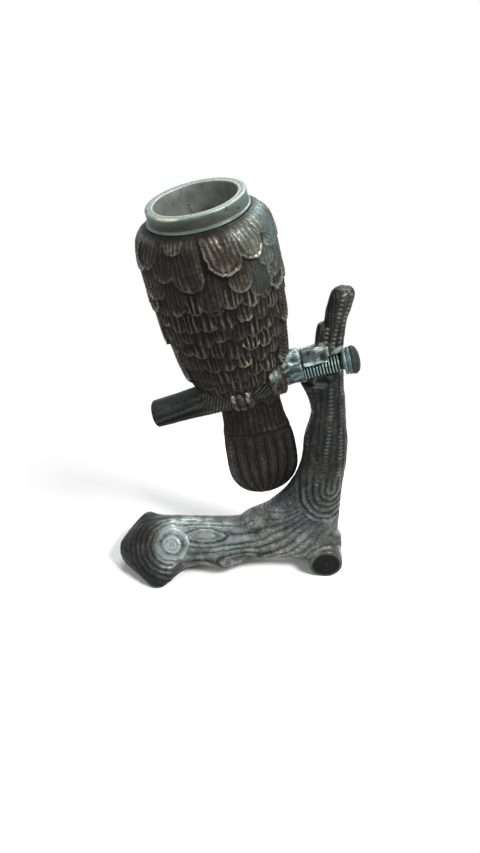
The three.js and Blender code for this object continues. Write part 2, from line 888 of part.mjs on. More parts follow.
// Where the tips of a row end at a column, as a share of the body's reach
function tipLine(index, column) {
  if (index < 0) {
    return firstFeatherShare;
  }
  const row = featherRows[index];
  const across = acrossFeather(row, index, column);
  const lift = featherScallop * row.scallopShare * across * across / (bodyBottom - bodyTop);
  return row.tipShare - lift;
}

function featherRing(index, ringShare) {
  const row = featherRows[index];
  const ring = [];
  for (let column = 0; column < bodyColumns; column += 1) {
    const across = acrossFeather(row, index, column);
    const root = tipLine(index - 1, column) + featherStep / (bodyBottom - bodyTop);
    const share = THREE.MathUtils.lerp(root, tipLine(index, column), ringShare);
    const crown = featherCrown * (1 - across * across);
    ring.push(bodyPoint(share, column, (featherRise + crown) * ringShare));
  }
  return ring;
}

function plainBodyRing(share, relief) {
  const ring = [];
  for (let column = 0; column < bodyColumns; column += 1) {
    ring.push(bodyPoint(share, column, relief * Math.cos(Math.PI * column)));
  }
  return ring;
}

function bodySkin() {
  const rings = [plainBodyRing(0, 0), plainBodyRing(bodyEdgeShare, 0)];
  featherRows.forEach((row, index) => {
    for (const ringShare of featherRingShares) {
      rings.push(featherRing(index, ringShare));
    }
  });
  const lastTip = featherRows.at(-1).tipShare;
  for (let ring = 1; ring <= skirtRingCount; ring += 1) {
    const share = THREE.MathUtils.lerp(lastTip, 1, ring / skirtRingCount);
    rings.push(plainBodyRing(share, ring === skirtRingCount ? 0 : skirtRelief));
  }
  return skin(rings);
}

// Outer radius of the cup at a depth below the ring's top
function cupRadiusAt(down) {
  const share = (down - cupDrop) / (cupBottom - cupDrop);
  return collarRadius - collarWall - clearance - cupBottomTaper * share;
}

// Hollow of the body: a bore for the ring's spigot, then an even wall down to the floor,
// with room for the cup everywhere
function hollowOutline() {
  const boreRadius = collarRadius + clearance;
  const boreEnd = bodyTop + collarSpigot;
  const floor = cupBottom + clearance;
  const outline = [[0, overrun], [boreRadius, overrun], [boreRadius, -boreEnd]];
  for (let step = 0; step <= hollowSteps; step += 1) {
    const down = THREE.MathUtils.lerp(boreEnd + clearance, floor, step / hollowSteps);
    const share = (down - bodyTop) / (bodyBottom - bodyTop);
    const [widthShare, depthShare] = sampled(bodyProfileShares, share);
    const outer = Math.min(widthShare * bodyHalfWidth, depthShare * bodyHalfDepth);
    outline.push([Math.max(outer - bodyWall, cupRadiusAt(down) + clearance), -down]);
  }
  outline.push([0, -floor]);
  return outline;
}

// The belly ends on the front of the perch, so what hangs below that line is cut off
function bellyCutter() {
  return block(-bodyHalfWidth, bodyHalfWidth, -2 * bodyHalfDepth, -clearance,
    -bodyHalfWidth, bellyEdge);
}

function bodyPiece() {
  let shape = solid(bodySkin());
  shape = shape.subtract(solid(turned(hollowOutline(), hollowSegments)));
  shape = shape.subtract(carried(bellyCutter(), perchFrame, birdFrame));
  shape = shape.subtract(carried(perchSkin(clearance), perchFrame, birdFrame));
  for (const foot of feet) {
    shape = shape.subtract(carried(footSkin(foot, clearance), perchFrame, birdFrame));
  }
  for (const place of bodyScrewPlaces) {
    shape = shape.subtract(carried(bodyScrewHole(place), perchFrame, birdFrame));
  }
  shape = shape.subtract(solid(tangSlot()));
  for (const side of [-1, 1]) {
    shape = shape.subtract(solid(rivetHole(side)));
  }
  return geometryOf(shape);
}

// Neck ring: land, side, foot flange and the spigot that goes down into the body
function collarPiece() {
  const flangeTop = -collarHeight;
  const flangeBottom = flangeTop - collarFlangeThickness;
  const bore = collarRadius - collarWall;
  return turned([
    [bore, -collarEdge],
    [bore + collarEdge, 0],
    [collarRadius - collarEdge, 0],
    [collarRadius, -collarEdge],
    [collarRadius, flangeTop],
    [collarFlangeRadius, flangeTop],
    [collarFlangeRadius, flangeBottom],
    [collarRadius, flangeBottom],
    [collarRadius, flangeBottom - collarSpigot],
    [bore, flangeBottom - collarSpigot],
  ], collarSegments);
}

function cupPiece() {
  const radius = cupRadiusAt(cupDrop);
  const low = cupRadiusAt(cupBottom);
  const floor = -cupBottom + cupFloor;
  return turned([
    [0, -cupBottom],
    [low - cupWall, -cupBottom],
    [low, -cupBottom + cupWall],
    [radius, -cupDrop - cupWall],
    [radius, -cupDrop],
    [radius - cupWall, -cupDrop],
    [low - cupWall, floor],
    [0, floor],
  ], cupSegments);
}

// Tail: a flat tang under the coverts, then an arched and fluted blade with a round tip
function tailRing(down, halfWidth, thickness, arch, flute, drift) {
  const last = tailFeathers * tailPointsPerFeather;
  const front = [];
  const back = [];
  for (let point = 0; point <= last; point += 1) {
    const across = 2 * point / last - 1;
    const bow = arch * (1 - across * across);
    const groove = flute * (1 - Math.cos(Math.PI * 2 * point / tailPointsPerFeather)) / 2;
    const edge = thickness / 2 * (1 - tailEdgeShare * across ** 6);
    const middle = skirtBack + bow - arch;
    const x = skirtToRight + across * halfWidth - drift;
    front.push(new THREE.Vector3(x, middle - edge - groove, -down));
    back.push(new THREE.Vector3(x, middle + edge + groove, -down));
  }
  return [...front, ...back.reverse()];
}

function tailPiece() {
  const bladeTop = bodyBottom + clearance;
  const rings = [
    tailRing(tangTop, tangHalfWidth, tangThickness, 0, 0, 0),
    tailRing(bladeTop, tangHalfWidth, tangThickness, 0, 0, 0),
  ];
  tailOutlineShares.forEach(([share, widthShare]) => {
    const down = THREE.MathUtils.lerp(bladeTop, tailTip, share);
    const thickness = tailThickness * (1 - tailTaperShare * share);
    const arch = tailArch * Math.min(1, tailArchGrowth * share) * widthShare;
    const halfWidth = tailHalfWidth * widthShare;
    const flute = tailFlute * Math.min(1, tailFluteGrowth * share);
    rings.push(tailRing(down, halfWidth, thickness, arch, flute, tailDrift * share * share));
  });
  let shape = solid(skin(rings));
  for (const side of [-1, 1]) {
    shape = shape.subtract(solid(rivetHole(side)));
  }
  return geometryOf(shape);
}

function tangSlot() {
  const half = tangHalfWidth + clearance;
  const deep = tangThickness / 2 + clearance;
  return block(skirtToRight - half, skirtToRight + half, skirtBack - deep, skirtBack + deep,
    -bodyBottom - overrun, -tangTop + clearance);
}

// Rivets from the back: head outside the coverts, end short of the front
function rivetEnds() {
  const share = (rivetDown - bodyTop) / (bodyBottom - bodyTop);
  const [widthShare, depthShare] = sampled(bodyProfileShares, share);
  const across = rivetSpread / (widthShare * bodyHalfWidth);
  const backFace = skirtBack + depthShare * bodyHalfDepth * Math.sqrt(1 - across * across);
  const frontEnd = skirtBack - tangThickness / 2 - clearance * 2;
  return { backFace, frontEnd };
}

function rivetX(side) {
  return skirtToRight + side * rivetSpread;
}

function rivetHole(side) {
  const { backFace, frontEnd } = rivetEnds();
  const radius = rivetRadius + clearance;
  const outline = [
    [0, frontEnd - clearance],
    [radius, frontEnd - clearance],
    [radius, backFace + clearance],
    [rivetHeadRadius + clearance, backFace + clearance],
    [rivetHeadRadius + clearance, backFace + overrun],
    [0, backFace + overrun],
  ];
  return alongY(turned(outline, rivetSegments)).translate(rivetX(side), 0, -rivetDown);
}

function alongY(geometry) {
  return geometry.rotateX(-Math.PI / 2);
}

function rivetPiece() {
  const { backFace, frontEnd } = rivetEnds();
  const headStart = backFace + 2 * clearance;
  const outline = [[0, frontEnd], [rivetRadius, frontEnd], [rivetRadius, headStart]];
  for (const [radiusShare, heightShare] of rivetHeadShares) {
    outline.push([rivetHeadRadius * radiusShare, headStart + rivetHeadHeight * heightShare]);
  }
  return alongY(turned(outline, rivetSegments));
}

// Assembly
function piece(name, geometry, finish) {
  const mesh = new THREE.Mesh(geometry, new THREE.MeshStandardMaterial(finish));
  mesh.name = name;
  return mesh;
}

const holder = new THREE.Group();
treeFrame.add(piece('tree_base', treePiece(), patinaFinish));

perchFrame.add(piece('perch', perchPiece(), patinaFinish));
perchFrame.add(piece('pivot_screw', pivotScrewPiece(), screwFinish));
perchFrame.add(piece('pivot_washer', pivotWasherPiece(), screwFinish));
for (const foot of feet) {
  perchFrame.add(piece(foot.name, footPiece(foot), bronzeFinish));
}
['body_screw_left', 'body_screw_right'].forEach((name, index) => {
  const screw = piece(name, bodyScrewPiece(bodyScrewPlaces[index]), screwFinish);
  screw.position.x = bodyScrewPlaces[index];
  perchFrame.add(screw);
});

birdFrame.add(piece('bird_body', bodyPiece(), bronzeFinish));
birdFrame.add(piece('bird_tail', tailPiece(), bronzeFinish));
birdFrame.add(piece('neck_collar', collarPiece(), ringFinish));
birdFrame.add(piece('liner_cup', cupPiece(), ringFinish));
[['tail_rivet_left', -1], ['tail_rivet_right', 1]].forEach(([name, side]) => {
  const rivet = piece(name, rivetPiece(), bronzeFinish);
  rivet.position.set(rivetX(side), 0, -rivetDown);
  birdFrame.add(rivet);
});

// Origin: the middle of the footprint, on the surface that the tree stands on
const whole = new THREE.Group();
whole.add(treeFrame, perchFrame, birdFrame);
whole.updateMatrixWorld(true);
const box = new THREE.Box3().setFromObject(whole, true);
whole.position.set(-(box.min.x + box.max.x) / 2, -(box.min.y + box.max.y) / 2, -box.min.z);
holder.add(whole);

export default holder;
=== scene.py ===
import json
from math import cos, pi, radians, sin, tau
import bmesh
import bpy
import numpy as np
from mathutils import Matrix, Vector


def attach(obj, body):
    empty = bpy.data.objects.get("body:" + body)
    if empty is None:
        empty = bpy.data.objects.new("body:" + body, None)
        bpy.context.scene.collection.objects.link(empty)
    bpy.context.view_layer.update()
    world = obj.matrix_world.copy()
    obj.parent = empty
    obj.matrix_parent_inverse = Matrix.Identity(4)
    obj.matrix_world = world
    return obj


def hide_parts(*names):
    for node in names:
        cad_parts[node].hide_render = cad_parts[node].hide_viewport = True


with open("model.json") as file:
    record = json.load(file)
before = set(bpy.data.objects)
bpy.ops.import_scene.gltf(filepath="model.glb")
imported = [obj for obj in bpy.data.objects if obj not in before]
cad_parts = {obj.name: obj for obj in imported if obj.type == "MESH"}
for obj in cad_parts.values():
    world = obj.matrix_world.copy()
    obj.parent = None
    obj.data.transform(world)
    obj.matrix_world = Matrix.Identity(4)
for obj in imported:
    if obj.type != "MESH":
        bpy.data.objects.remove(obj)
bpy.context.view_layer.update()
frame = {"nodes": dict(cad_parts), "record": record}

# Sizes are in millimetres in the drawing frame of the holder and turn into metres at the end.
MM = 0.001
PIVOT = np.array([3.0, -4.0, 70.9])
PERCH_SLOPE = radians(15.5)
BIRD = (-11.2, 0.0, 122.7)
BIRD_LEAN = radians(12.1)

hinge = next(j for j in frame["record"]["behaviour"]["joints"] if j["name"] == "perch_swivel")
SHIFT_X = hinge["pos_m"][0] / MM - PIVOT[0]


# ---- numbers ----
def unit(value):
    return np.clip(value, 0.0, 1.0)


def smooth(low, high, value):
    t = unit((value - low) / (high - low))
    return t * t * (3.0 - 2.0 * t)


def band(value, low, full, still, end):
    """1 from full to still, and smoothly down to 0 at low and at end."""
    return smooth(low, full, value) * smooth(end, still, value)


def mix(a, b, t):
    return a + (b - a) * t


def bump(value, middle, spread):
    return np.exp(-(((value - middle) / spread) ** 2))


def sampled(table, at):
    """Values between the rows of a table, on a smooth curve through them."""
    table = np.asarray(table, float)
    at = np.asarray(at, float)
    xs = table[:, 0]
    last = len(xs) - 1
    row = np.clip(np.searchsorted(xs, at, "left") - 1, 0, last - 1)
    before = np.maximum(row - 1, 0)
    after = np.minimum(row + 2, last)
    step = xs[row + 1] - xs[row]
    t = unit((at - xs[row]) / step)
    out = []
    for k in range(1, table.shape[1]):
        v = table[:, k]
        slope_in = (v[row + 1] - v[before]) / (xs[row + 1] - xs[before]) * step
        slope_out = (v[after] - v[row]) / (xs[after] - xs[row]) * step
        rest = 1 - t
        out.append(rest * rest * (1 + 2 * t) * v[row] + t * rest * rest * slope_in
                   + t * t * (3 - 2 * t) * v[row + 1] - t * t * rest * slope_out)
    return out


def scramble(*whole, seed=0):
    """Steady pseudo-random numbers from 0 to 1 for whole-number places."""
    n = np.full(np.broadcast(*whole).shape, 0x9E3779B1 * (seed + 1) & 0xFFFFFFFF, np.uint64)
    for k, w in enumerate(whole):
        m = np.asarray(w, np.int64).astype(np.uint64) & np.uint64(0xFFFFFFFF)
        n = (n ^ (m * np.uint64((374761393, 668265263, 2246822519)[k]))) & np.uint64(0xFFFFFFFF)
        n = (n * np.uint64(2654435761)) & np.uint64(0xFFFFFFFF)
        n = n ^ (n >> np.uint64(15))
    return (n & np.uint64(0xFFFFFF)).astype(float) / float(0xFFFFFF)


def noise(p, size, seed=0):
    """Smooth noise from -1 to 1 with lumps of about the given size."""
    q = p / size
    cell = np.floor(q).astype(np.int64)
    f = q - cell
    f = f * f * (3 - 2 * f)
    total = 0.0
    for corner in range(8):
        d = np.array([corner & 1, corner >> 1 & 1, corner >> 2 & 1])
        weight = np.prod(np.where(d == 1, f, 1 - f), axis=-1)
        c = cell + d
        total = total + weight * scramble(c[..., 0], c[..., 1], c[..., 2], seed=seed)
    return 2 * total - 1


def fractal(p, size, octaves, seed=0):
    total, weight = 0.0, 0.0
    for k in range(octaves):
        total = total + noise(p, size / 2 ** k, seed + 17 * k) * 0.5 ** k
        weight += 0.5 ** k
    return total / weight


def grooves(value, pitch, sharp=0.45, phase=0.0):
    """1 on the ridges between narrow grooves, 0 in the grooves."""
    return np.abs(np.sin(pi * value / pitch + phase)) ** sharp


def blurred(h, wide):
    """Box-blurred twice along both ways of a grid whose second way runs round."""
    rows = len(h)
    steps = range(-wide, wide + 1)
    for _ in range(2):
        h = sum(np.roll(h, k, axis=1) for k in steps) / len(steps)
        h = sum(h[np.clip(np.arange(rows) + k, 0, rows - 1)] for k in steps) / len(steps)
    return h


def wrapped(angle):
    return np.angle(np.exp(1j * angle))


def circle(columns):
    return np.linspace(0, tau, columns, endpoint=False)


def xyz(x, y, z):
    return np.stack([x, y, z], -1)


def tube(x, radius, turn, y=0.0, z=0.0):
    """Points round the X axis, or round a line beside it."""
    return xyz(x, y + radius * np.cos(turn), z + radius * np.sin(turn))


def bird_ring(radius, turn, depth):
    """Points round the bird's axis, with the turn counted from its breast."""
    return xyz(radius * np.sin(turn), -radius * np.cos(turn), -depth)


# ---- frames ----
def placed(points, origin, angle):
    """From a frame that leans about Y to the drawing frame."""
    x, y, z = np.moveaxis(points, -1, 0)
    c, s = cos(angle), sin(angle)
    return xyz(origin[0] + c * x - s * z, origin[1] + y, origin[2] + s * x + c * z)


def on_perch(points):
    return placed(points, PIVOT, PERCH_SLOPE)


def from_perch(points):
    """From the drawing frame back to the frame of the perch."""
    x, y, z = np.moveaxis(points - PIVOT, -1, 0)
    c, s = cos(PERCH_SLOPE), sin(PERCH_SLOPE)
    return xyz(x * c + z * s, y, -x * s + z * c)


def on_bird(points):
    return placed(points, BIRD, BIRD_LEAN)


def to_world(points):
    return (points + np.array([SHIFT_X, 0, 0])) * MM


# ---- meshes ----
def in_scene(name, data):
    ob = bpy.data.objects.new(name, data)
    bpy.context.scene.collection.objects.link(ob)
    return ob


def new_mesh(name, points, faces):
    mesh = bpy.data.meshes.new(name)
    mesh.from_pydata(points.tolist(), [], faces)
    return mesh


def move_points(mesh, points):
    mesh.vertices.foreach_set("co", points.astype(np.float32).ravel())
    mesh.update()


def dress(name, mesh, body, slot, nodes, marks):
    """The mesh as a piece of the scene, with its marks and material, the body that it rides, its
    slot and the nodes that it replaces."""
    for key, values in marks.items():
        layer = mesh.attributes.new(key, "FLOAT", "POINT")
        layer.data.foreach_set("value", np.asarray(values, np.float32).ravel())
    mesh.polygons.foreach_set("use_smooth", np.full(len(mesh.polygons), True))
    mesh.materials.clear()
    mesh.materials.append(METALS[slot])
    mesh.update()
    piece = in_scene(name, mesh)
    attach(piece, body)
    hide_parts(*nodes)


def mesh_piece(name, points, faces, slot, nodes, marks, body="perch_arm"):
    mesh = new_mesh(name, to_world(points), faces)
    mesh.validate()
    dress(name, mesh, body, slot, nodes, marks)


def loft_piece(name, rings, slot, nodes, marks, body="perch_arm"):
    """A piece out of closed rings, with marks over the same grid."""
    marks = {key: np.concatenate([v.ravel(), [v[0].mean(), v[-1].mean()]])
             for key, v in marks.items()}
    mesh_piece(name, *loft(rings), slot, nodes, marks, body)


def ring_quads(rows, columns, used):
    """Quads from each of the used rows of closed rings to the next row, or back to the first."""
    r, c = np.meshgrid(np.arange(used), np.arange(columns), indexing="ij")
    here, below = r * columns, (r + 1) % rows * columns
    after = (c + 1) % columns
    return np.stack([here + c, here + after, below + after, below + c], -1).reshape(-1, 4).tolist()


def loft(rings):
    """Points and faces of a closed skin over an array of rings (rows, columns, 3)."""
    rows, columns = rings.shape[:2]
    faces = ring_quads(rows, columns, rows - 1)
    start, last = rows * columns, (rows - 1) * columns
    for k in range(columns):
        n = (k + 1) % columns
        faces += [(start, n, k), (start + 1, last + k, last + n)]
    return np.vstack([rings.reshape(-1, 3), rings[0].mean(0), rings[-1].mean(0)]), faces


def hoop_faces(rows, columns):
    """Quads over closed rings of which the last joins the first."""
    return [(a, d, c, b) for a, b, c, d in ring_quads(rows, columns, rows)]


# ---- materials ----
# specular level of all the metals, under the usual 0.5 since the patina is dull
DULL = 0.28


class Nodes:
    """Writes the node tree of a material or of the world in short calls."""

    def __init__(self, owner, output):
        self.owner = owner
        owner.use_nodes = True
        self.tree = owner.node_tree
        self.tree.nodes.clear()
        self.out = self.add(output).inputs[0]

    def add(self, kind, **settings):
        node = self.tree.nodes.new("ShaderNode" + kind)
        for key, value in settings.items():
            setattr(node, key, value)
        return node

    def feed(self, socket, value):
        """A number or a colour goes on the socket itself; an output is linked to it."""
        if isinstance(value, tuple):
            socket.default_value = (*value, 1)
        elif isinstance(value, (int, float)):
            socket.default_value = value
        else:
            self.tree.links.new(value, socket)

    def mark(self, name):
        return self.add("Attribute", attribute_name=name, attribute_type="GEOMETRY").outputs["Fac"]

    def noise(self, scale, detail=4, rough=0.6, stretch=None):
        node = self.add("TexNoise")
        for key, value in (("Scale", scale), ("Detail", detail), ("Roughness", rough)):
            node.inputs[key].default_value = value
        source = self.add("TexCoord").outputs["Object"]
        if stretch:
            mapping = self.add("Mapping")
            mapping.inputs["Scale"].default_value = stretch
            self.feed(mapping.inputs["Vector"], source)
            source = mapping.outputs["Vector"]
        self.feed(node.inputs["Vector"], source)
        return node.outputs["Fac"]

    def math(self, operation, a, b):
        node = self.add("Math", operation=operation)
        self.feed(node.inputs[0], a)
        self.feed(node.inputs[1], b)
        return node.outputs[0]

    def strewn(self, value, noise, weight):
        """The value, raised and lowered by noise."""
        return self.math("ADD", value, self.math("MULTIPLY", self.math(
            "SUBTRACT", noise, 0.5), weight))

    def span(self, value, low, high, to_low=0.0, to_high=1.0):
        node = self.add("MapRange", interpolation_type="SMOOTHSTEP")
        for key, v in zip(("Value", "From Min", "From Max", "To Min", "To Max"),
                          (value, low, high, to_low, to_high)):
            self.feed(node.inputs[key], v)
        return node.outputs["Result"]

    def ramp(self, value, *stops):
        node = self.add("ValToRGB")
        ramp = node.color_ramp
        while len(ramp.elements) < len(stops):
            ramp.elements.new(0.5)
        for element, (at, colour) in zip(ramp.elements, stops):
            element.position = at
            element.color = (*colour, 1)
        self.feed(node.inputs["Fac"], value)
        return node.outputs["Color"]

    def blend(self, factor, a, b, way="MIX"):
        node = self.add("Mix", data_type="RGBA", blend_type=way)
        for key, kind, value in (("Factor", "VALUE", factor), ("A", "RGBA", a), ("B", "RGBA", b)):
            self.feed(next(s for s in node.inputs if s.name == key and s.enabled
                           and s.type == kind), value)
        return next(s for s in node.outputs if s.type == "RGBA")

    def pick(self, factor, first, second):
        """The second shader where the factor is 1, the first where it is 0, to the output."""
        node = self.add("MixShader")
        for socket, value in zip(node.inputs, (factor, first.outputs[0], second.outputs[0])):
            self.feed(socket, value)
        self.feed(self.out, node.outputs[0])

    def finish(self, colour, rough, metallic, height, depth, strength):
        bump_node = self.add("Bump")
        shader = self.add("BsdfPrincipled")
        for node, key, value in (
                (bump_node, "Strength", strength), (bump_node, "Distance", depth),
                (bump_node, "Height", height), (shader, "Base Color", colour),
                (shader, "Roughness", rough), (shader, "Metallic", metallic),
                (shader, "Specular IOR Level", DULL), (shader, "Normal", bump_node.outputs[0])):
            self.feed(node.inputs[key], value)
        self.feed(self.out, shader.outputs[0])
        return self.owner


def metal_nodes(name):
    return Nodes(bpy.data.materials.new(name), "OutputMaterial")


def cast_metal(name, deep, middle, worn, gilt_and_glint, green, green_amount, shine=0.34):
    """Patinated cast metal: near black in the hollows, rubbed on the ridges, with verdigris.
    Marks on the mesh: height (0 hollow, 1 ridge); bright edges, partly rubbed and partly
    painted glints; verdigris, in places also a painted teal sheen; and a brightness factor
    that also paints light and shade."""
    n = metal_nodes(name)
    cloud = n.noise(230)
    level = n.strewn(n.strewn(n.mark("height"), n.noise(1300, 3), 0.75), cloud, 0.45)
    base = n.ramp(level, (0.2, deep), (0.58, middle), (0.98, worn))
    tint = n.ramp(n.noise(60, 3), (0.35, (0.84, 0.86, 0.88)), (0.65, (1.12, 1.03, 0.92)))
    base = n.blend(1.0, base, tint, "MULTIPLY")
    # verdigris patches; in places the mark also paints a teal sheen
    patches = n.span(n.strewn(n.mark("verd"), n.noise(110, 5), 0.95), 0.35, 0.85, 0.0,
                     green_amount)
    greens = n.ramp(level, (0.15, tuple(0.16 * c for c in green)), (0.95, green))
    base = n.blend(patches, base, greens)
    # gilt colour on rubbed edges, and on painted glints
    base = n.blend(n.span(n.strewn(n.mark("rub"), cloud, 1.0), 0.5, 0.95), base, gilt_and_glint)
    # brightness factor, which also paints light and shade
    base = n.blend(1.0, base, n.mark("tone"), "MULTIPLY")
    roughness = n.span(level, 0.25, 0.85, shine + 0.34, shine)
    fine = n.math("ADD", n.math("MULTIPLY", n.noise(1900, 3), 0.45),
                  n.math("MULTIPLY", cloud, 0.55))
    return n.finish(base, roughness, 0.5, fine, 0.00016, 0.75)


def fastener_metal():
    """Dull iron for the small screws and rivets between the castings."""
    n = metal_nodes("fastener iron")
    cloud = n.noise(300)
    base = n.ramp(cloud, (0.3, (0.012, 0.014, 0.014)), (0.7, (0.06, 0.064, 0.058)))
    return n.finish(base, n.span(cloud, 0.3, 0.7, 0.6, 0.38), 0.6, n.noise(1400, 3), 0.00008, 0.5)


def plated_metal(name, pale, stain, dark, rough, green_amount):
    """Worn plate with stains, dark specks and a little verdigris. Marks: as for the castings,
    and a darkening mark that holds real stains and also painted shade."""
    n = metal_nodes(name)
    cloud = n.noise(150, 5, 0.65)
    faded = n.math("ADD", cloud, n.math("MULTIPLY", n.mark("height"), -0.25))
    base = n.blend(n.span(faded, 0.25, 0.75), pale, stain)
    # darker where the darkening mark is high: stains, and painted shade inside the cup
    stain_and_shade_level = n.strewn(n.mark("stain"), n.noise(90, 4, 0.6, (1, 1, 3)), 0.9)
    base = n.blend(n.span(stain_and_shade_level, 0.25, 0.85), base, dark)
    green = n.strewn(n.mark("verd"), n.noise(120), 0.9)
    base = n.blend(n.span(green, 0.35, 0.9, 0.0, green_amount), base, (0.13, 0.21, 0.2))
    # pale gold on rubbed places, and on glints painted along the ring's edges
    rub_and_glint_level = n.strewn(n.mark("rub"), cloud, 0.8)
    base = n.blend(n.span(rub_and_glint_level, 0.5, 0.95), base, (0.62, 0.56, 0.42))
    base = n.blend(n.span(n.noise(420, 2, 0.5), 0.64, 0.72, 0.0, 0.75), base, dark)
    base = n.blend(1.0, base, n.mark("tone"), "MULTIPLY")
    roughness = n.span(n.math("ADD", cloud, n.mark("stain")), 0.3, 1.3, rough, rough + 0.25)
    return n.finish(base, roughness, 0.6, n.noise(700), 0.0001, 0.4)


# slot of the pieces, and the material that fills it
METALS = {
    "bird_metal": cast_metal(
        "bird patina", (0.004, 0.004, 0.004), (0.026, 0.022, 0.018), (0.125, 0.112, 0.095),
        (0.42, 0.35, 0.22), (0.085, 0.135, 0.13), 0.75),
    "tree_metal": cast_metal(
        "tree patina", (0.005, 0.006, 0.006), (0.036, 0.04, 0.04), (0.13, 0.142, 0.14),
        (0.42, 0.35, 0.22), (0.15, 0.185, 0.18), 0.75),
    "perch_metal": cast_metal(
        "perch patina", (0.005, 0.006, 0.006), (0.03, 0.034, 0.031), (0.115, 0.122, 0.108),
        (0.36, 0.32, 0.22), (0.17, 0.225, 0.22), 0.85),
    "screw_metal": cast_metal(
        "screw patina", (0.004, 0.009, 0.01), (0.05, 0.08, 0.08), (0.26, 0.34, 0.33),
        (0.32, 0.28, 0.21), (0.17, 0.29, 0.29), 0.7, 0.32),
    "ring_metal": plated_metal(
        "ring plate", (0.175, 0.225, 0.21), (0.13, 0.155, 0.14), (0.045, 0.036, 0.027),
        0.36, 0.5),
    "liner_metal": plated_metal(
        "cup plate", (0.24, 0.26, 0.24), (0.17, 0.18, 0.155), (0.055, 0.055, 0.038), 0.42, 0.4),
}


# ---- bird: body ----
BODY_TOP = 4.3
BODY_BOTTOM = 75.0
BODY_WIDE = 18.1
BODY_DEEP = 17.5
BODY_MEAN = 17
SKIRT_BACK = 4.0
SKIRT_RIGHT = 0.6
BODY_PROFILE = [
    (0, 0.775, 0.775, 0), (0.01, 0.84, 0.84, 0), (0.028, 0.895, 0.895, 0), (0.055, 0.94, 0.94, 0),
    (0.136, 0.97, 0.97, 0), (0.22, 0.955, 0.965, 0), (0.334, 0.932, 0.93, 0),
    (0.447, 0.882, 0.87, 0), (0.546, 0.826, 0.79, 0), (0.631, 0.752, 0.69, 0.06),
    (0.702, 0.656, 0.58, 0.24), (0.759, 0.56, 0.43, 0.56), (0.801, 0.51, 0.3, 0.86),
    (0.844, 0.482, 0.215, 1), (0.887, 0.486, 0.172, 1), (0.94, 0.505, 0.166, 1), (1, 0.56, 0.15, 1),
]


# Feathers of the upper breast: angle from the breast (degrees), depth of the tip, half width,
# length, rise, barbs and tilt
BREAST_TOP = [
    (19, 14.6, 4.2, 14, 1.15, 6, -0.35), (43, 13.2, 3.6, 12, 1.05, 5, -0.3),
    (60, 9.2, 3, 8, 0.7, 4, -0.2), (57, 17, 3.3, 10, 0.6, 5, -0.1), (-24, 7.9, 2.5, 6, 0.5, 4, 0),
    (-13, 17.4, 4.2, 15, 0.5, 7, -0.2), (-1, 23.4, 3.2, 10, 0.5, 5, 0.1),
    (27, 20.4, 3.2, 9, 0.55, 6, 0), (44, 23.6, 3.2, 9, 0.45, 6, 0), (-36, 14.6, 3.4, 12, 0.5, 6, 0),
    (-31, 21.6, 3.4, 9, 0.4, 6, 0), (-53, 11.5, 3.4, 10, 0.5, 5, 0), (-50, 20, 3.6, 12, 0.45, 6, 0),
    (-66, 18, 3.4, 10, 0.45, 6, 0), (70, 21, 3.4, 12, 0.45, 6, 0),
]
# Rows of feathers on the breast and on the flanks: tip, space for one feather, rise
BREAST_ROWS = [
    (24.4, 4.9, 0.48), (29.2, 4.5, 0.46), (33.6, 4.4, 0.44), (38, 4.4, 0.42), (42.4, 4.3, 0.4),
    (46.8, 4.2, 0.4), (51, 4.1, 0.38), (55.2, 4, 0.36), (59.2, 3.8, 0.32), (63, 3.6, 0.28),
]
FLANK_ROWS = [
    (13.6, 7, 0.85), (24.9, 7.4, 1.05), (36.7, 7.2, 1.05), (48.4, 6.8, 0.95), (59, 5.8, 0.75),
    (65.5, 4.6, 0.35),
]


# The back follows the rows of the solid body: tip, length, rise
BACK_ROWS = [
    (20.2, 13.8, 0.92), (30.1, 10, 0.92), (38.2, 8.6, 0.9), (45.3, 7.8, 0.88), (51.7, 7.2, 0.85),
    (58, 7, 0.8), (64.5, 7, 0.35),
]
BACK_AROUND = 12
# Angles from the breast where one kind of feather gives way to the next
BREAST_EDGE = radians(62)
FLANK_EDGE = radians(58)
BACK_EDGE = radians(104)
BODY_FLOOR = 45.0
BODY_WALL = 2.2


def body_radius(down):
    """Half width, half depth and share of the shift to the back, all without feathers."""
    return sampled(BODY_PROFILE, unit((down - BODY_TOP) / (BODY_BOTTOM - BODY_TOP)))


def body_place(turn, down):
    """Where noise is taken for the body: on a plain cylinder of about its size."""
    return xyz(BODY_MEAN * np.sin(turn), BODY_MEAN * np.cos(turn), down)


def row_of(rows, seed, wobble, count=None):
    """Each place in rows of feathers round the body: the tip, size and rise of its row, the
    body's width there, its number in the row, its angle and four values of luck."""
    for index, (tip, size, rise) in enumerate(rows):
        wide = float(body_radius(np.array(tip))[0])
        number = count or int(round(tau * (wide * BODY_WIDE) / size))
        for k in range(number):
            luck = scramble(np.array([k] * 4), np.full(4, index), np.arange(4), seed=seed)
            turn = k + 0.5 * (index % 2) + wobble * (luck[0] - 0.5)
            yield tip, size, rise, wide, k, float(wrapped(tau * turn / number)), luck


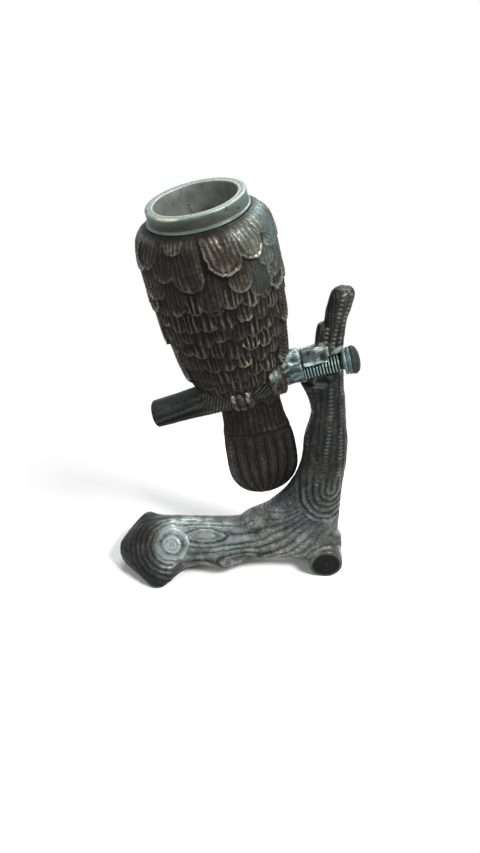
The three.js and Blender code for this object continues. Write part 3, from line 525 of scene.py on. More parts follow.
def feather_list():
    """All feathers, the lowest first: angle, tip, half width, length, rise, barbs, tilt, wing or
    not, luck, and rise again for the big ones of the upper breast."""
    feathers = []
    for tip, pitch, rise, _, k, angle, luck in row_of(BREAST_ROWS, 3, 0.16):
        if abs(angle) < BREAST_EDGE - 0.3 * float(smooth(30, 60, tip)) + 0.12:
            feathers.append((angle, tip + 1.7 * (luck[1] - 0.5), pitch * (0.5 + 0.1 * luck[2]),
                             5.6, rise * (0.75 + 0.5 * luck[3]), 3 + k % 2, 0.0, 0, luck[2], 0))
    for tip, pitch, rise, _, _, angle, luck in row_of(FLANK_ROWS, 9, 0.2):
        if FLANK_EDGE - 0.3 * float(smooth(30, 60, tip)) < abs(angle) < BACK_EDGE:
            feathers.append((angle, tip + (luck[1] - 0.5), pitch * 0.53, 13.5,
                             rise * (0.8 + 0.4 * luck[3]), 4, 0.0, 1, luck[2], 0))
    for tip, length, rise, wide, _, angle, luck in row_of(BACK_ROWS, 15, 0, BACK_AROUND):
        if abs(angle) > BACK_EDGE - 0.06:
            half = 1.08 * pi * wide * BODY_WIDE / BACK_AROUND
            feathers.append((angle, tip + 0.5 * (luck[1] - 0.5), half,
                             length, rise * (0.9 + 0.2 * luck[3]), 5, 0.0, 1, luck[2], 0))
    for angle, tip, half, length, rise, barbs, tilt in BREAST_TOP:
        feathers.append((radians(angle), tip, half, length, rise, barbs, tilt, 0, 0.5,
                         min(1.0, rise)))
    return sorted(feathers, key=lambda f: -f[1])


def body_relief(turn, down):
    """Relief of the plumage over a grid, and a mark of painted glints along the rims of its
    feathers.
    """
    high = np.full(turn.shape, 0.05)
    rims = np.zeros(turn.shape)
    depths = down[:, 0]
    place = body_place(turn, down)
    ragged = 0.38 * noise(place, 1.3, 81)
    waver = 0.45 * noise(place * (1, 1, 0.5), 1.6, 82)
    radius = (body_radius(depths)[0] * BODY_WIDE)[:, None]
    for angle, tip, half, length, rise, barbs, tilt, wing, luck, big in feather_list():
        rows = np.nonzero((depths > tip - length) & (depths < tip + 0.5))[0]
        if len(rows) == 0:
            continue
        part = slice(rows[0], rows[-1] + 1)
        above = tip - down[part]
        across = wrapped(turn[part] - angle) * radius[part] - tilt * above * 0.35
        corner = np.hypot(across, np.maximum(half - above, 0))
        inner = half - corner + ragged[part]
        inside = inner > 0
        a = (across + waver[part]) / half
        run = 1 - above / length
        near_tip = smooth(2.2 * half, 0.5 * half, above)
        if wing:
            rung = grooves(above - 0.9 * np.abs(across), 1.25, 0.8)
            shaft = bump(across, 0, 0.22)
            barb = 0.34 * (rung - 0.55) * (1 - shaft) + 0.22 * shaft
        else:
            wave = (1 - np.abs(np.sin(0.5 * pi * barbs * (a + 1)))) ** 0.8
            barb = (0.2 if big else 0.3 + 0.34 * luck) * (wave - 0.35)
        value = 0.12 + rise * run + barb * smooth(0.3, 0.85, inner)
        edge = 0.55 * big if big else 0.1 + 0.35 * luck ** 2
        value = value - 0.55 * edge * rise * bump(inner, 0.85, 0.45) * near_tip
        value = value + 0.2 * edge * bump(inner, 0.26, 0.24) * (0.15 + 0.85 * near_tip)
        value = value - 0.3 * smooth(0.35, 0.0, inner) * (1 - near_tip)
        rooted = smooth(0.45, 0.75, above / length) * (value < high[part])
        value = mix(value, high[part], rooted)
        high[part] = np.where(inside, value, high[part])
        # painted glint along the rim, near the tip of the feather
        shine = bump(inner, 0.22, 0.3) * near_tip * (0.05 + 0.95 * luck ** 6) * (1 - 0.7 * wing)
        rims[part] = np.where(inside, shine, rims[part])
    skirt = smooth(62, 67, down)
    barbs = np.abs(np.sin(wrapped(turn) * BODY_MEAN + 0.5 * np.sin(down * 0.45)))
    high = mix(high, 0.22 * barbs ** 0.7 + 0.02, skirt)
    return high, rims * (1 - skirt)


def feathered_body():
    # finer columns on the breast and flanks than on the back
    fine = 1.95
    turns = np.concatenate([np.linspace(-fine, fine, 301)[:-1],
                           np.linspace(fine, tau - fine, 85)[:-1]])
    downs = np.concatenate([np.linspace(BODY_BOTTOM, 5.6, 238), np.linspace(5.3, 4.06, 5)])
    turn, down = np.meshgrid(turns, downs)
    high, rims = body_relief(turn, down)
    high = high * smooth(3.9, 5.4, down) * smooth(BODY_BOTTOM, BODY_BOTTOM - 1.5, down)
    place = body_place(turn, down)
    high = high + 0.07 * fractal(place, 1.1, 2, 5) + 0.1 * fractal(place, 5.0, 2, 6)
    patches = fractal(place, 3.0, 3, 7)
    wide, deep, back = body_radius(down)
    x = back * SKIRT_RIGHT + (wide * BODY_WIDE + high) * np.sin(turn)
    y = back * SKIRT_BACK - (deep * BODY_DEEP + high) * np.cos(turn)
    world = on_bird(xyz(x, y, -down))
    # below the front of the perch the belly draws back
    local = from_perch(world)
    middle_y, middle_z, _ = perch_middle(local[..., 0])
    under = smooth(1.6, -0.4, local[..., 2] - middle_z)
    y, limit = world[..., 1], PIVOT[1] + middle_y - 0.5
    world[..., 1] = np.where(y < limit, mix(y, limit, under), y)
    bare = smooth(6.4, 5.2, down)
    around = np.degrees(wrapped(turn))
    flank = smooth(-30, -65, around) + smooth(55, 90, around)
    # Painted light and shade: the lit front and right side and the top of the body are painted
    # brighter, and the lower body is painted darker. Where the top and the lit side meet, a painted
    # teal sheen raises the verdigris and ridge marks. The verdigris on the right side is partly
    # this sheen too.
    lit = band(around, -40, 22, 85, 125)
    top = smooth(30, 10, down)
    painted_sheen = top * lit * smooth(0, 40, around)
    tone = 0.32 + 0.32 * top + 0.38 * lit + 0.3 * smooth(20, 50, around) * lit + 0.2 * painted_sheen
    gilt_and_glint = band(around, -6, 14, 35, 60) * band(down, 20, 26, 50, 66)
    broken = smooth(-0.15, 0.25, fractal(place, 1.5, 2, 8))
    above = high - blurred(high, 5)
    ridge = above / 0.55 * (0.9 + patches) * (1 - 0.45 * painted_sheen)
    marks = {
        "height": unit(0.44 + 0.14 * painted_sheen + ridge),
        # painted rim glints, and gilt rubbed on the ridges of the front right
        "rub": unit(rims * (0.2 + 0.75 * gilt_and_glint) * broken + 0.75 * gilt_and_glint * broken * unit(
            above / 0.25)),
        "verd": unit(0.9 * bare * flank + 0.26 * band(around, 5, 70, 80, 125)
                     + 0.12 + 0.08 * top + 0.16 * painted_sheen),
        "tone": 1.06 * tone * (1 - 0.2 * smooth(42, 56, down)) * (1 + 0.65 * patches)}
    # bore for the ring and hollow for the cup: radius and depth
    inner = [(13.6, 4.03), (13.3, 4.06), (13.3, 8.3), (14.0, 8.9)]
    for k in range(1, 9):
        d = mix(8.6, BODY_FLOOR, k / 8)
        wide, deep, _ = body_radius(np.array(d))
        inner.append((float(min(wide * BODY_WIDE, deep * BODY_DEEP)) - BODY_WALL, d))
    inner += [(6.0, BODY_FLOOR), (1.0, BODY_FLOOR)]
    radius, d = np.array(inner).T[..., None]
    hollow = on_bird(bird_ring(radius, turns, 0 * turns + d))
    for key, value in (("height", 0.4), ("rub", 0.0), ("verd", 0.15), ("tone", 0.7)):
        marks[key] = np.vstack([marks[key], np.full(hollow.shape[:2], value)])
    loft_piece("feathered_body", np.concatenate([world, hollow]), "bird_metal", ["bird_body"],
               marks)


# ---- bird: tail ----
TAIL_TIP = 98.6
TAIL_WIDE = 10.8
TAIL_DRIFT = 1.8
TAIL_OUTLINE = [
    (0, 0.94), (0.14, 0.98), (0.3, 0.995), (0.45, 1), (0.6, 0.97), (0.72, 0.89), (0.83, 0.75),
    (0.92, 0.56), (0.97, 0.37), (1, 0.16),
]


def tail_fan():
    rows, half_columns = 150, 120
    start = BODY_BOTTOM + 0.3
    even = np.linspace(0, 1, rows)
    downs = mix(73.0, TAIL_TIP, 1 - (1 - even) ** 1.3)
    share = unit((downs - start) / (TAIL_TIP - start))
    (wide,) = sampled(TAIL_OUTLINE, share)
    skirt = (body_radius(downs)[0] * BODY_WIDE - 0.35) / TAIL_WIDE
    wide = np.where(downs < start, np.minimum(skirt, wide), wide)
    across = np.sin(np.linspace(-pi / 2, pi / 2, half_columns))
    a, s = np.meshgrid(across, share)
    w = np.repeat(wide[:, None], half_columns, 1)
    d = np.repeat(downs[:, None], half_columns, 1)
    feathers = 7
    place = (a + 1) / 2 * feathers
    seam = np.abs(place - np.round(place)) * 2
    inside = place - np.floor(place)
    grow = band(s, 0, 0.2, 0.93, 1)
    barb = grooves(inside * 5 + 0.8 * s, 1, 0.7)
    relief = 0.1 * bump(inside, 0.5, 0.07) - 0.26 * smooth(0.3, 0.0, seam) - 0.11 * (1 - barb)
    relief = relief * grow + 0.05 * fractal(xyz(a * 9, s * 9, 0 * s), 1.2, 3, 14)
    step = 76.6 - (1 - a * a) - 0.7 * a
    ridge = 0.4 * smooth(step + 0.3, step - 0.3, d) - 0.22 * bump(d, step + 0.5, 0.4)
    edge = (1 - 0.4 * s) * np.sqrt(unit(1 - a ** 6)) * (1 - 0.4 * a ** 6)
    bow = SKIRT_BACK - 1.3 * np.minimum(1, 2 * s) * w * a * a
    x = SKIRT_RIGHT + a * TAIL_WIDE * w - TAIL_DRIFT * s ** 2
    fall = 1 - a ** 8
    front = xyz(x, bow - edge - (relief + ridge) * fall, -d)
    back = xyz(x, bow + edge + relief * fall, -d)
    both = lambda f, b: np.concatenate([f, b[:, ::-1][:, 1:-1]], axis=1)
    height = unit(0.42 + relief / 0.5)
    # painted sheen: a strip along the left edge of the tail is painted lighter and greener
    left_edge_sheen = smooth(-0.62, -0.95, a)
    loft_piece("tail_fan", on_bird(both(front, back)), "bird_metal", ["bird_tail"], {
        "height": both(height, height), "rub": both(0.1 * height * (1 - np.abs(a)), 0 * a),
        "verd": both(0.08 + 0.42 * left_edge_sheen, 0.2 + 0 * a),
        "tone": both(1.2 + 0.35 * left_edge_sheen + 0.3 * smooth(0.3, 0.7, s), 1.1 + 0 * a)})


# ---- perch, along the pivot axis ----
PERCH_LEFT = -29.2
PERCH_RIGHT = 15.2
PERCH_RADIUS = 4.4
BOSS_SHIFT = 2.0
PERCH_DROOP = 2.7
BOSS_DIRECTION = radians(62)
PERCH_STATIONS = [
    (0, 0.8, 0, 1), (0.02, 0.88, 0, 0.97), (0.2, 0.93, 0, 0.8), (0.38, 1.03, 0, 0.6),
    (0.56, 1.04, 0, 0.36), (0.7, 1.02, 0.1, 0.12), (0.86, 1.03, 0.8, 0), (0.93, 1.06, 1, 0),
    (0.985, 1.05, 1, 0), (1, 1, 1, 0),
]


def perch_middle(x):
    share = unit((x - PERCH_LEFT) / (PERCH_RIGHT - PERCH_LEFT))
    radius, shift, droop = sampled(PERCH_STATIONS, share)
    y = shift * BOSS_SHIFT * cos(BOSS_DIRECTION)
    z = shift * BOSS_SHIFT * sin(BOSS_DIRECTION) - droop * PERCH_DROOP
    return y, z, radius * PERCH_RADIUS


def perch_branch():
    rows, columns = 270, 180
    turn, x = np.meshgrid(circle(columns), np.linspace(PERCH_LEFT, PERCH_RIGHT, rows))
    y, z, radius = perch_middle(x)
    place = tube(x * 0.45, radius, turn)
    wave = fractal(place, 3.2, 3, 21)
    lines = np.abs(np.sin(8 * turn + 2.4 * wave + 0.1 * x)) ** 0.6
    bark = 0.28 * (lines - 0.7)
    # left arm: a plain upper face, then a ridge over the lower face
    left = smooth(-12, -16, x)
    ridge = 0.4 * bump(turn, radians(172) - 0.02 * (x + 20), 0.13)
    ridge = ridge - 0.3 * bump(turn, radians(190) - 0.02 * (x + 20), 0.12)
    bark = mix(bark, 0.25 * bark + ridge, left)
    # leg feathers that lie over the branch on both sides of the left foot
    legs = band(x, -15, -11, 7.0, 8.6)
    slope = (turn - pi) * radius + 0.55 * x
    slant = grooves(slope, 1.35, 0.7, 0.5 * wave)
    pull = smooth(-0.2, 2.0, x)
    fan = grooves(x + 0.4 * (turn - pi) * radius, 0.95, 0.8, 0.8 * wave)
    strands = mix(0.3 * (fan - 0.55), 0.46 * (slant - 0.5), pull)
    bark = mix(bark, strands, legs)
    # the boss: rough, broken bark
    boss = smooth(8.8, 11.0, x)
    bark = bark * (1 - 0.5 * boss) + boss * rough_bark(tube(x, radius, turn, y, z))
    bark = bark + 0.06 * fractal(place, 0.9, 2, 44)
    ends = np.minimum(smooth(PERCH_LEFT - 0.01, PERCH_LEFT + 0.7, x),
                      smooth(PERCH_RIGHT + 0.01, PERCH_RIGHT - 0.6, x))
    reach = radius + bark * (0.3 + 0.7 * ends) - 0.4 * (1 - ends) ** 2
    rings = tube(x, reach, turn, y, z)
    place = place * (2.2, 1, 1)
    height = unit(0.5 + (bark - blurred(bark, 5)) / mix(0.45, 0.26, boss)
                  + 0.7 * boss * fractal(place, 1.5, 2, 38))
    # Painted light: the upper face is painted lighter and greener on the boss and the left arm,
    # with painted glints on the boss's ridges. The lower front face of the left arm (low) is
    # painted shade. The left arm as a whole is darker.
    low = bump(turn, radians(218), 0.75) * left
    up = band(turn, 0.5, 1.1, 2.6, 3.2)
    blotch = 0.35 + 0.85 * smooth(-0.25, 0.3, fractal(place, 2.2, 2, 39))
    rub = 0.3 * legs * slant * pull + 0.1 * legs + 0.3 * boss * height * up
    loft_piece("perch_branch", on_perch(rings), "perch_metal", ["perch"], {
        "height": height, "rub": unit(rub),
        "verd": unit(0.16 + 0.85 * boss + 0.5 * left * up - 0.12 * legs),
        "tone": 0.76 + 0.03 * up * left - 0.54 * left - 0.18 * low
                + 1.5 * boss * (0.1 + 0.9 * up) * blotch})


def rough_bark(local):
    """Broken bark in the frame of the perch, the same on the boss and the lug beside it."""
    ridged = 1 - np.abs(fractal(local * (0.42, 1.0, 1.0), 1.9, 2, 31)) * 2.6
    chips = np.abs(fractal(local * (0.7, 1.2, 1.2), 1.6, 2, 37))
    return 0.36 * (unit(ridged) - 0.5) - 0.3 * chips + 0.06


# ---- feet ----
# name, node, place along the perch, width, start and end of the arc (degrees), toes apart
FEET = [("left_claw", "left_foot", -2.9, 6.4, 48, 144, 0.85),
        ("right_claw", "right_foot", 7.7, 5.0, 40, 146, 0.06)]


def claw(name, node, place, width, start, end, apart):
    y0, z0, radius = (float(v) for v in perch_middle(np.array(place)))
    rows, columns = 110, 80
    seat = radius + 0.27
    share = np.linspace(0, 1, rows)[:, None]
    across = np.linspace(-1, 1, columns)[None]
    angle = np.radians(mix(start, end, share))
    fade = np.sqrt(np.sin(pi * mix(0.1, 0.93, share)))
    half = width / 2 * mix(0.8, 1.0, fade)
    toes = np.abs(np.cos(1.5 * pi * (across + 0.06 * np.sin(5 * share)))) ** 0.6
    lumps_at = np.stack(np.broadcast_arrays(across * half, share * 9, place), -1)
    lumps = fractal(lumps_at, 2.0, 3, 18)
    knuckle = 0.5 + 0.5 * apart * np.cos(tau * (share * 2.6 + 0.3 * lumps))
    rise = 2.1 * fade * (1 - 0.25 * across ** 4)
    rise = rise * (1 - 0.34 * apart * (1 - toes)) + 0.3 * knuckle * toes * fade
    rise = rise * (1 - smooth(0.7, 1.0, share) * (1 - toes) * 0.8 * apart) + 0.22 * lumps * fade
    rise = rise - 0.3 * bump(share, 0.62, 0.06) * apart
    rise = np.maximum(rise, 0.12) * (1 - across ** 6) + 0.05
    shape = lambda reach: xyz(place + across * half, y0 - reach * np.sin(angle),
                              z0 + reach * np.cos(angle))
    rings = np.concatenate([shape(seat + rise), shape(seat - 0.3 + 0 * rise)[:, ::-1]], axis=1)
    split = mix(1.0, toes, apart)
    height = unit(0.2 + 0.7 * split * (0.5 + 0.5 * knuckle))
    # painted highlight on the top of each claw: lighter, rubbed in gilt and, on the right claw,
    # greener; the left claw's top gets a further painted brightening
    top_highlight = smooth(0.62, 0.16, share) * (0.45 + 0.55 * split)
    top_highlight = top_highlight * mix(0.25 + bump(share, 0.26, 0.18) * bump(across, -0.25, 0.6), 1.0, apart)
    patchy = unit(0.45 + 0.35 * apart + 1.1 * fractal(lumps_at, 1.1, 2, 19))
    crumbs = smooth(-0.25, 0.3, fractal(lumps_at, 0.9, 2, 20))
    # painted shade on the lower part of the right claw
    shade = 0.35 * smooth(0.45, 0.7, share) * (1 - apart)
    marks = {"height": height * (0.6 + 0.45 * crumbs),
             "rub": np.clip(top_highlight * patchy * 0.85, 0, 0.75),
             "verd": 0.3 + 0.75 * top_highlight * (1 - apart),
             "tone": (0.88 + 0.5 * apart) * (1.0 + 0.7 * top_highlight) * (1 - shade)
                     + 2.4 * apart * smooth(0.52, 0.24, share) * (0.35 + 0.65 * crumbs)}
    hidden = np.full((rows, columns), 0.3)
    marks = {key: np.concatenate([v + 0 * rise, hidden], axis=1) for key, v in marks.items()}
    loft_piece(name, on_perch(rings), "bird_metal", [node], marks)


# ---- turned pieces ----
def turned(outline, columns):
    """A closed skin round X from points of (place, radius), as an array of rings."""
    outline = np.asarray(outline, float)
    return tube(np.repeat(outline[:, :1], columns, 1), outline[:, 1:2], circle(columns))

EYE_LEFT = 26.3
EYE_RIGHT = 27.3
HEAD_START = EYE_RIGHT + 1.2
RING_OUTER = 13.0
CUP_OUTER = 11.75


def ribbed_screw():
    start = PERCH_RIGHT + 0.05
    outline = [(PERCH_RIGHT - 5.6, 0.05), (PERCH_RIGHT - 5.6, 1.6), (start, 1.6), (start, 2.0)]
    pitch = 0.86
    for k in range(int((EYE_LEFT - start) / pitch)):
        for s, cut in ((0.04, 0.18), (0.12, 0.03), (0.28, 0.0), (0.44, 0.02), (0.54, 0.22),
                       (0.64, 0.52), (0.8, 0.58), (0.94, 0.48)):
            outline.append((start + (k + s) * pitch, 2.42 - cut))
    outline += [(EYE_LEFT - 0.2, 2.1), (EYE_LEFT - 0.05, 2.4)]
    outline += [(HEAD_START + past, radius) for past, radius in (
        (-0.05, 2.4), (0, 2.5), (0, 3.8), (0.06, 3.9), (0.75, 3.98), (0.95, 3.9), (1.05, 3.74))]
    for k in range(1, 10):
        t = pi / 2 * k / 9
        outline.append((HEAD_START + 1.05 + 1.3 * sin(t), 3.66 * cos(t) + 0.02))
    rings = turned(outline, 110)
    uneven = 0.1 * fractal(rings * (0.8, 1, 1), 1.2, 2, 71)
    rings[..., 1:] *= (1 + uneven / 2.5)[..., None]
    along = rings[..., 0]
    ribs = along < EYE_LEFT
    thick = np.hypot(rings[..., 1], rings[..., 2])
    height = np.where(ribs, unit((thick - 1.8) / 0.62), 0.45)
    dim = smooth(start + 2.5, EYE_LEFT - 2.5, along)
    neck = (along > EYE_LEFT - 0.1) & (along < HEAD_START)
    head = mix(0.78, 0.42, smooth(HEAD_START + 0.3, HEAD_START + 1.2, along))
    loft_piece("ribbed_screw", on_perch(rings), "screw_metal", ["pivot_screw"], {
        "height": height, "rub": np.where(ribs, 0.55 * height * dim, 0.05),
        "verd": np.where(ribs, mix(0.95, 0.45, dim), np.where(neck, 1.0, 0.3)),
        "tone": np.where(ribs, 0.92, head)})


def ring_of(outline, columns, uneven, seed):
    """Rings round the bird's axis from points of (depth, radius), with depth, radius and turn."""
    depth, radius = (np.repeat(outline[:, k:k + 1], columns, 1) for k in (0, 1))
    turn = np.repeat(circle(columns)[None], len(outline), 0)
    points = bird_ring(radius, turn, depth)
    out = bird_ring(1.0, turn, 0 * turn)
    points = points + uneven * fractal(points, 4.0, 3, seed)[..., None] * out
    return points, depth, radius, turn


def neck_ring():
    outer, inner = RING_OUTER, CUP_OUTER + 0.02
    outline = np.array([
        (0.6, inner), (0.04, inner), (0.01, inner + 0.01), (0, inner + 0.04), (0, inner + 0.4),
        *((depth, outer + past) for depth, past in (
            (0, -0.34), (0.03, -0.2), (0.1, -0.08), (0.24, -0.01), (0.4, 0), (1, -0.02),
            (1.7, -0.03), (2.4, -0.02), (3.1, 0), (3.36, 0.02), (3.44, 0.12), (3.5, 0.38),
            (3.56, 0.48), (3.74, 0.52), (3.9, 0.5), (3.98, 0.42), (4, 0), (8, 0))), (8, inner)])
    points, depth, radius, turn = ring_of(outline, 300, 0.04, 51)
    turn = wrapped(turn)
    side = smooth(outer - 0.12, outer - 0.03, radius) * band(depth, 0.22, 0.5, 3.3, 3.5)
    front = band(turn, -1.9, -0.2, 0.1, 1.4)
    corner = bump(depth, 0.1, 0.26) * smooth(outer - 0.9, outer - 0.2, radius)
    worn = bump(turn, -0.58, 0.4)
    foot = smooth(outer + 0.15, outer + 0.4, radius)
    # painted highlights: shine puts two small glints on the top corner, and the flange gets a
    # painted bright edge on its right side only
    shine = bump(turn, 1.0, 0.5) + bump(turn, -2.3, 0.5)
    rub = corner * (1.15 * worn + 0.15 * shine) + 0.95 * worn * side * smooth(1.3, 0.3, depth)
    rub = rub + 0.45 * foot * smooth(0.1, 1.0, turn)
    seam = bump(radius, inner, 0.18) * smooth(0.5, 0.2, depth)
    stain = side * (0.26 + 0.22 * front + 0.14 * smooth(0.6, 2.6, depth)) + 0.05 + 0.35 * seam
    verd = 0.55 * (1 - side) * (1 - foot) * smooth(-0.3, -1.4, turn) + 0.15
    verd = verd + 0.85 * foot * smooth(0.8, 0.0, turn)
    mesh_piece("neck_ring", on_bird(points).reshape(-1, 3), hoop_faces(*depth.shape),
               "ring_metal", ["neck_collar"],
               {"height": 0.5 + 0.5 * corner, "rub": unit(rub),
                "stain": unit(stain), "verd": unit(verd),
                "tone": 0.95 - 0.33 * side - 0.35 * foot})


def inner_cup():
    outer, bore = CUP_OUTER, 10.84
    wall = [(d, 10.82 - 0.0246 * d) for d in np.linspace(1.2, 40.0, 40)]
    outline = np.array([
        (44.7, 0.3), (44.7, 9.6), (44.4, 10.2), (30.0, 10.62), (8.0, 11.27), (2.2, 11.44),
        (1.6, outer), (0.04, outer), (0.01, outer - 0.01), (0.0, outer - 0.04), (0.0, bore + 0.3),
        (0.02, bore + 0.16), (0.09, bore + 0.06), (0.22, bore + 0.01), (0.4, bore), *wall,
        (42.8, 9.6), (43.7, 8.8), (43.9, 7.6), (43.9, 0.3)])
    points, depth, radius, turn = ring_of(outline, 200, 0.03, 61)
    side_x = radius * np.sin(turn)
    lip = smooth(0.3, 0.12, depth)
    inside = np.arange(len(outline))[:, None] > np.argmin(outline[:, 0])
    cloudy = fractal(points, 3.0, 3, 63)
    # painted shade inside the cup: right of the middle the inner wall is darker, most near the
    # middle, and the wall darkens deeper down; the cloudy part is real staining
    stain = 0.14 + smooth(-3.0, 0.5, side_x) * (0.24 - 0.022 * side_x) + 0.3 * cloudy
    stain = np.where(inside, stain + 0.2 * smooth(10, 40, depth), 0.4) * (1 - lip) + 0.05 * lip
    stain = stain + 0.35 * bump(radius, outer, 0.18) * lip
    loft_piece("inner_cup", on_bird(points), "liner_metal", ["liner_cup"], {
        "height": 0.5 + 0 * depth, "rub": 0.12 * lip, "stain": unit(stain),
        "verd": 0.35 * lip * smooth(2, -8, side_x) + 0.1,
        "tone": mix(0.8 + 0.35 * cloudy, 1.0, lip)}, "cup")


def pinch_washer():
    left, right = EYE_RIGHT + 0.04, HEAD_START - 0.03
    outline = np.array([(left, 2.75), (left, 3.68), (left + 0.08, 3.74), (left + 0.5, 3.78),
                        (right - 0.1, 3.8), (right - 0.03, 3.76), (right, 3.7), (right, 2.75)])
    points = turned(outline, 96)
    points[..., 1:] *= 1 + 0.008 * fractal(points, 2.0, 2, 77)[..., None]
    even = {"height": 0.5, "rub": 0.1, "verd": 0.8, "tone": 0.9}
    mesh_piece("pinch_washer", on_perch(points).reshape(-1, 3),
               [face[::-1] for face in hoop_faces(*points.shape[:2])], "screw_metal",
               ["pivot_washer"],
               {key: np.full(points.shape[:2], value) for key, value in even.items()})


# ---- tree ----
LOG_TIP = -38.7
LOG_LONG = 71.5
LOG_DEEP = 8.0
LOG_HIGH = 16.6
LOG_STATIONS = [
    (0, 0.4, 0.12, 0.24, 0.48), (0.018, 0.66, 0.4, 0.13, 0.58), (0.059, 0.96, 0.86, 0.06, 0.74),
    (0.108, 1.08, 1.06, 0.04, 0.88), (0.164, 1.1, 1.08, 0.04, 0.95),
    (0.234, 1.06, 1.02, 0.03, 1.01), (0.317, 1.03, 1, 0.03, 1), (0.429, 1.06, 0.98, 0.03, 1),
    (0.513, 1.05, 0.96, 0.05, 1.02), (0.597, 0.88, 0.93, 0.12, 1.06), (0.681, 0.8, 0.93, 0.16, 1.1),
    (0.793, 0.81, 0.92, 0.14, 1.1), (0.905, 0.8, 0.86, 0.1, 1), (0.968, 0.62, 0.72, 0.16, 0.82),
    (1, 0.3, 0.36, 0.34, 0.62),
]
LOG_SWELLINGS = [
    (0.178, 212, 7.2, 0.091, 27), (0.155, 316, 4.6, 0.06, 24), (0.11, 20, 2.6, 0.055, 32),
    (0.485, 200, 1.1, 0.06, 30), (0.9, 312, 4.9, 0.055, 24),
]
TRUNK_X = 25.0
TRUNK_WIDE = 7.0
TRUNK_DEEP = 6.0
TRUNK_HIGH = 82.5
TRUNK_STATIONS = [
    (0.11, -2.2, 0.9, 0.98), (0.19, -3.4, 0.92, 1.06), (0.232, -3.6, 0.92, 1.06),
    (0.266, -2.72, 0.92, 1.04), (0.299, -2.24, 0.92, 1.02), (0.332, -1.86, 0.92, 1),
    (0.364, -1.54, 0.93, 1), (0.4, -1.3, 0.95, 0.99), (0.436, -1.12, 0.97, 0.98),
    (0.485, -0.96, 1.01, 0.96), (0.533, -0.88, 1.03, 0.94), (0.582, -0.87, 1, 0.91),
    (0.63, -0.77, 0.94, 0.88), (0.679, -0.66, 0.86, 0.84), (0.727, -0.6, 0.79, 0.8),
    (0.776, -0.66, 0.73, 0.8), (0.812, -0.74, 0.65, 0.8), (0.848, -0.82, 0.61, 0.8),
    (0.873, -0.8, 0.58, 0.79), (0.921, -0.67, 0.55, 0.76), (0.97, -0.63, 0.5, 0.7),
    (1, -0.56, 0.4, 0.56),
]
TALL_STUB = [
    (0, -0.94, 0.96, 0.9), (0.24, -0.98, 0.98, 1), (0.46, -1, 1.02, 1), (0.62, -0.92, 1.14, 0.98),
    (0.72, -0.88, 1.34, 0.96), (0.82, -0.72, 1.52, 0.96), (0.94, -0.46, 1.64, 0.92),
    (1, -0.1, 1.44, 0.66),
]
SHORT_STUB = [
    (0, -0.9, 1.1, 0.8), (0.4, -1, 1.2, 0.84), (0.7, -0.98, 1.14, 0.8), (0.92, -0.84, 0.9, 0.7),
    (1, -0.5, 0.5, 0.42),
]
BRACKET = [
    (0, -0.5, 0.2, 0.9), (0.3, -0.62, 0.2, 1), (0.6, -0.8, 0.2, 1), (0.82, -1, 0.2, 1),
    (0.95, -1.14, 0.2, 0.94), (1, -1.14, 0.2, 0.8),
]
VOXEL = 0.33
SETTLE_ROUNDS = 90
BOSS = np.array([-21.4, -7.3, 13.2])
FOOT_KNOT = np.array([27.4, -7.9, 5.1])


def log_rings():
    r, s = np.meshgrid(circle(96), np.linspace(0, 1, 150))
    front, back, bottom, top = sampled(LOG_STATIONS, s)
    push = np.zeros_like(r)
    for spot, degrees, reach, spread, wide in LOG_SWELLINGS:
        away = (np.degrees(r) - degrees + 180) % 360 - 180
        push += reach * np.exp(-((s - spot) / spread) ** 2 - (away / wide) ** 2)
    y = (back - front) * LOG_DEEP / 2 + ((back + front) * LOG_DEEP / 2 + push) * np.cos(r)
    z = (top + bottom) * LOG_HIGH / 2 + ((top - bottom) * LOG_HIGH / 2 + push) * np.sin(r)
    return xyz(LOG_TIP + LOG_LONG * s, y, z)


def upright(table, base, top, middle, wide, deep, rows=60):
    r, s = np.meshgrid(circle(72), np.linspace(table[0][0], 1, rows))
    left, right, thick = sampled(table, s)
    x = middle + wide * ((left + right) / 2 + (right - left) / 2 * np.cos(r))
    return xyz(x, deep * thick * np.sin(r), base + s * (top - base))


def knot_rings(radius, deep, tilt, turn, centre):
    outline = np.array([(-deep, 0.05), (-deep, radius), (-0.7, radius), (-0.15, radius * 0.93),
                        (0.0, radius * 0.7), (0.1, 0.05)])
    z, x, y = np.moveaxis(turned(outline, 60), -1, 0)
    c, s = cos(tilt), sin(tilt)
    y, z = c * y - s * z, s * y + c * z
    c, s = cos(turn), sin(turn)
    return xyz(c * x - s * y, s * x + c * y, z) + centre


def rod_rings(radius, start, end, rows=2, shift=(0.0, 0.0)):
    r, s = np.meshgrid(circle(64), np.linspace(start, end, rows))
    return on_perch(tube(s, radius, r, *shift))


def solid_object(name, rings_list):
    """One mesh object out of several closed lofts, facing out."""
    all_points, all_faces, base = [], [], 0
    for rings in rings_list:
        points, faces = loft(rings)
        all_points.append(points)
        all_faces += [tuple(base + v for v in f) for f in faces]
        base += len(points)
    mesh = new_mesh(name, np.vstack(all_points), all_faces)
    ob = in_scene(name, mesh)
    bm = bmesh.new()
    bm.from_mesh(mesh)
    bmesh.ops.recalc_face_normals(bm, faces=bm.faces)
    bm.to_mesh(mesh)
    bm.free()
    return ob


def applied(ob):
    """The object's mesh with its modifiers, as a new mesh."""
    deps = bpy.context.evaluated_depsgraph_get()
    deps.update()
    return bpy.data.meshes.new_from_object(ob.evaluated_get(deps))


def vertex_data(mesh, key="co"):
    values = np.empty(len(mesh.vertices) * 3, np.float32)
    mesh.vertices.foreach_get(key, values)
    return values.reshape(-1, 3).astype(float)


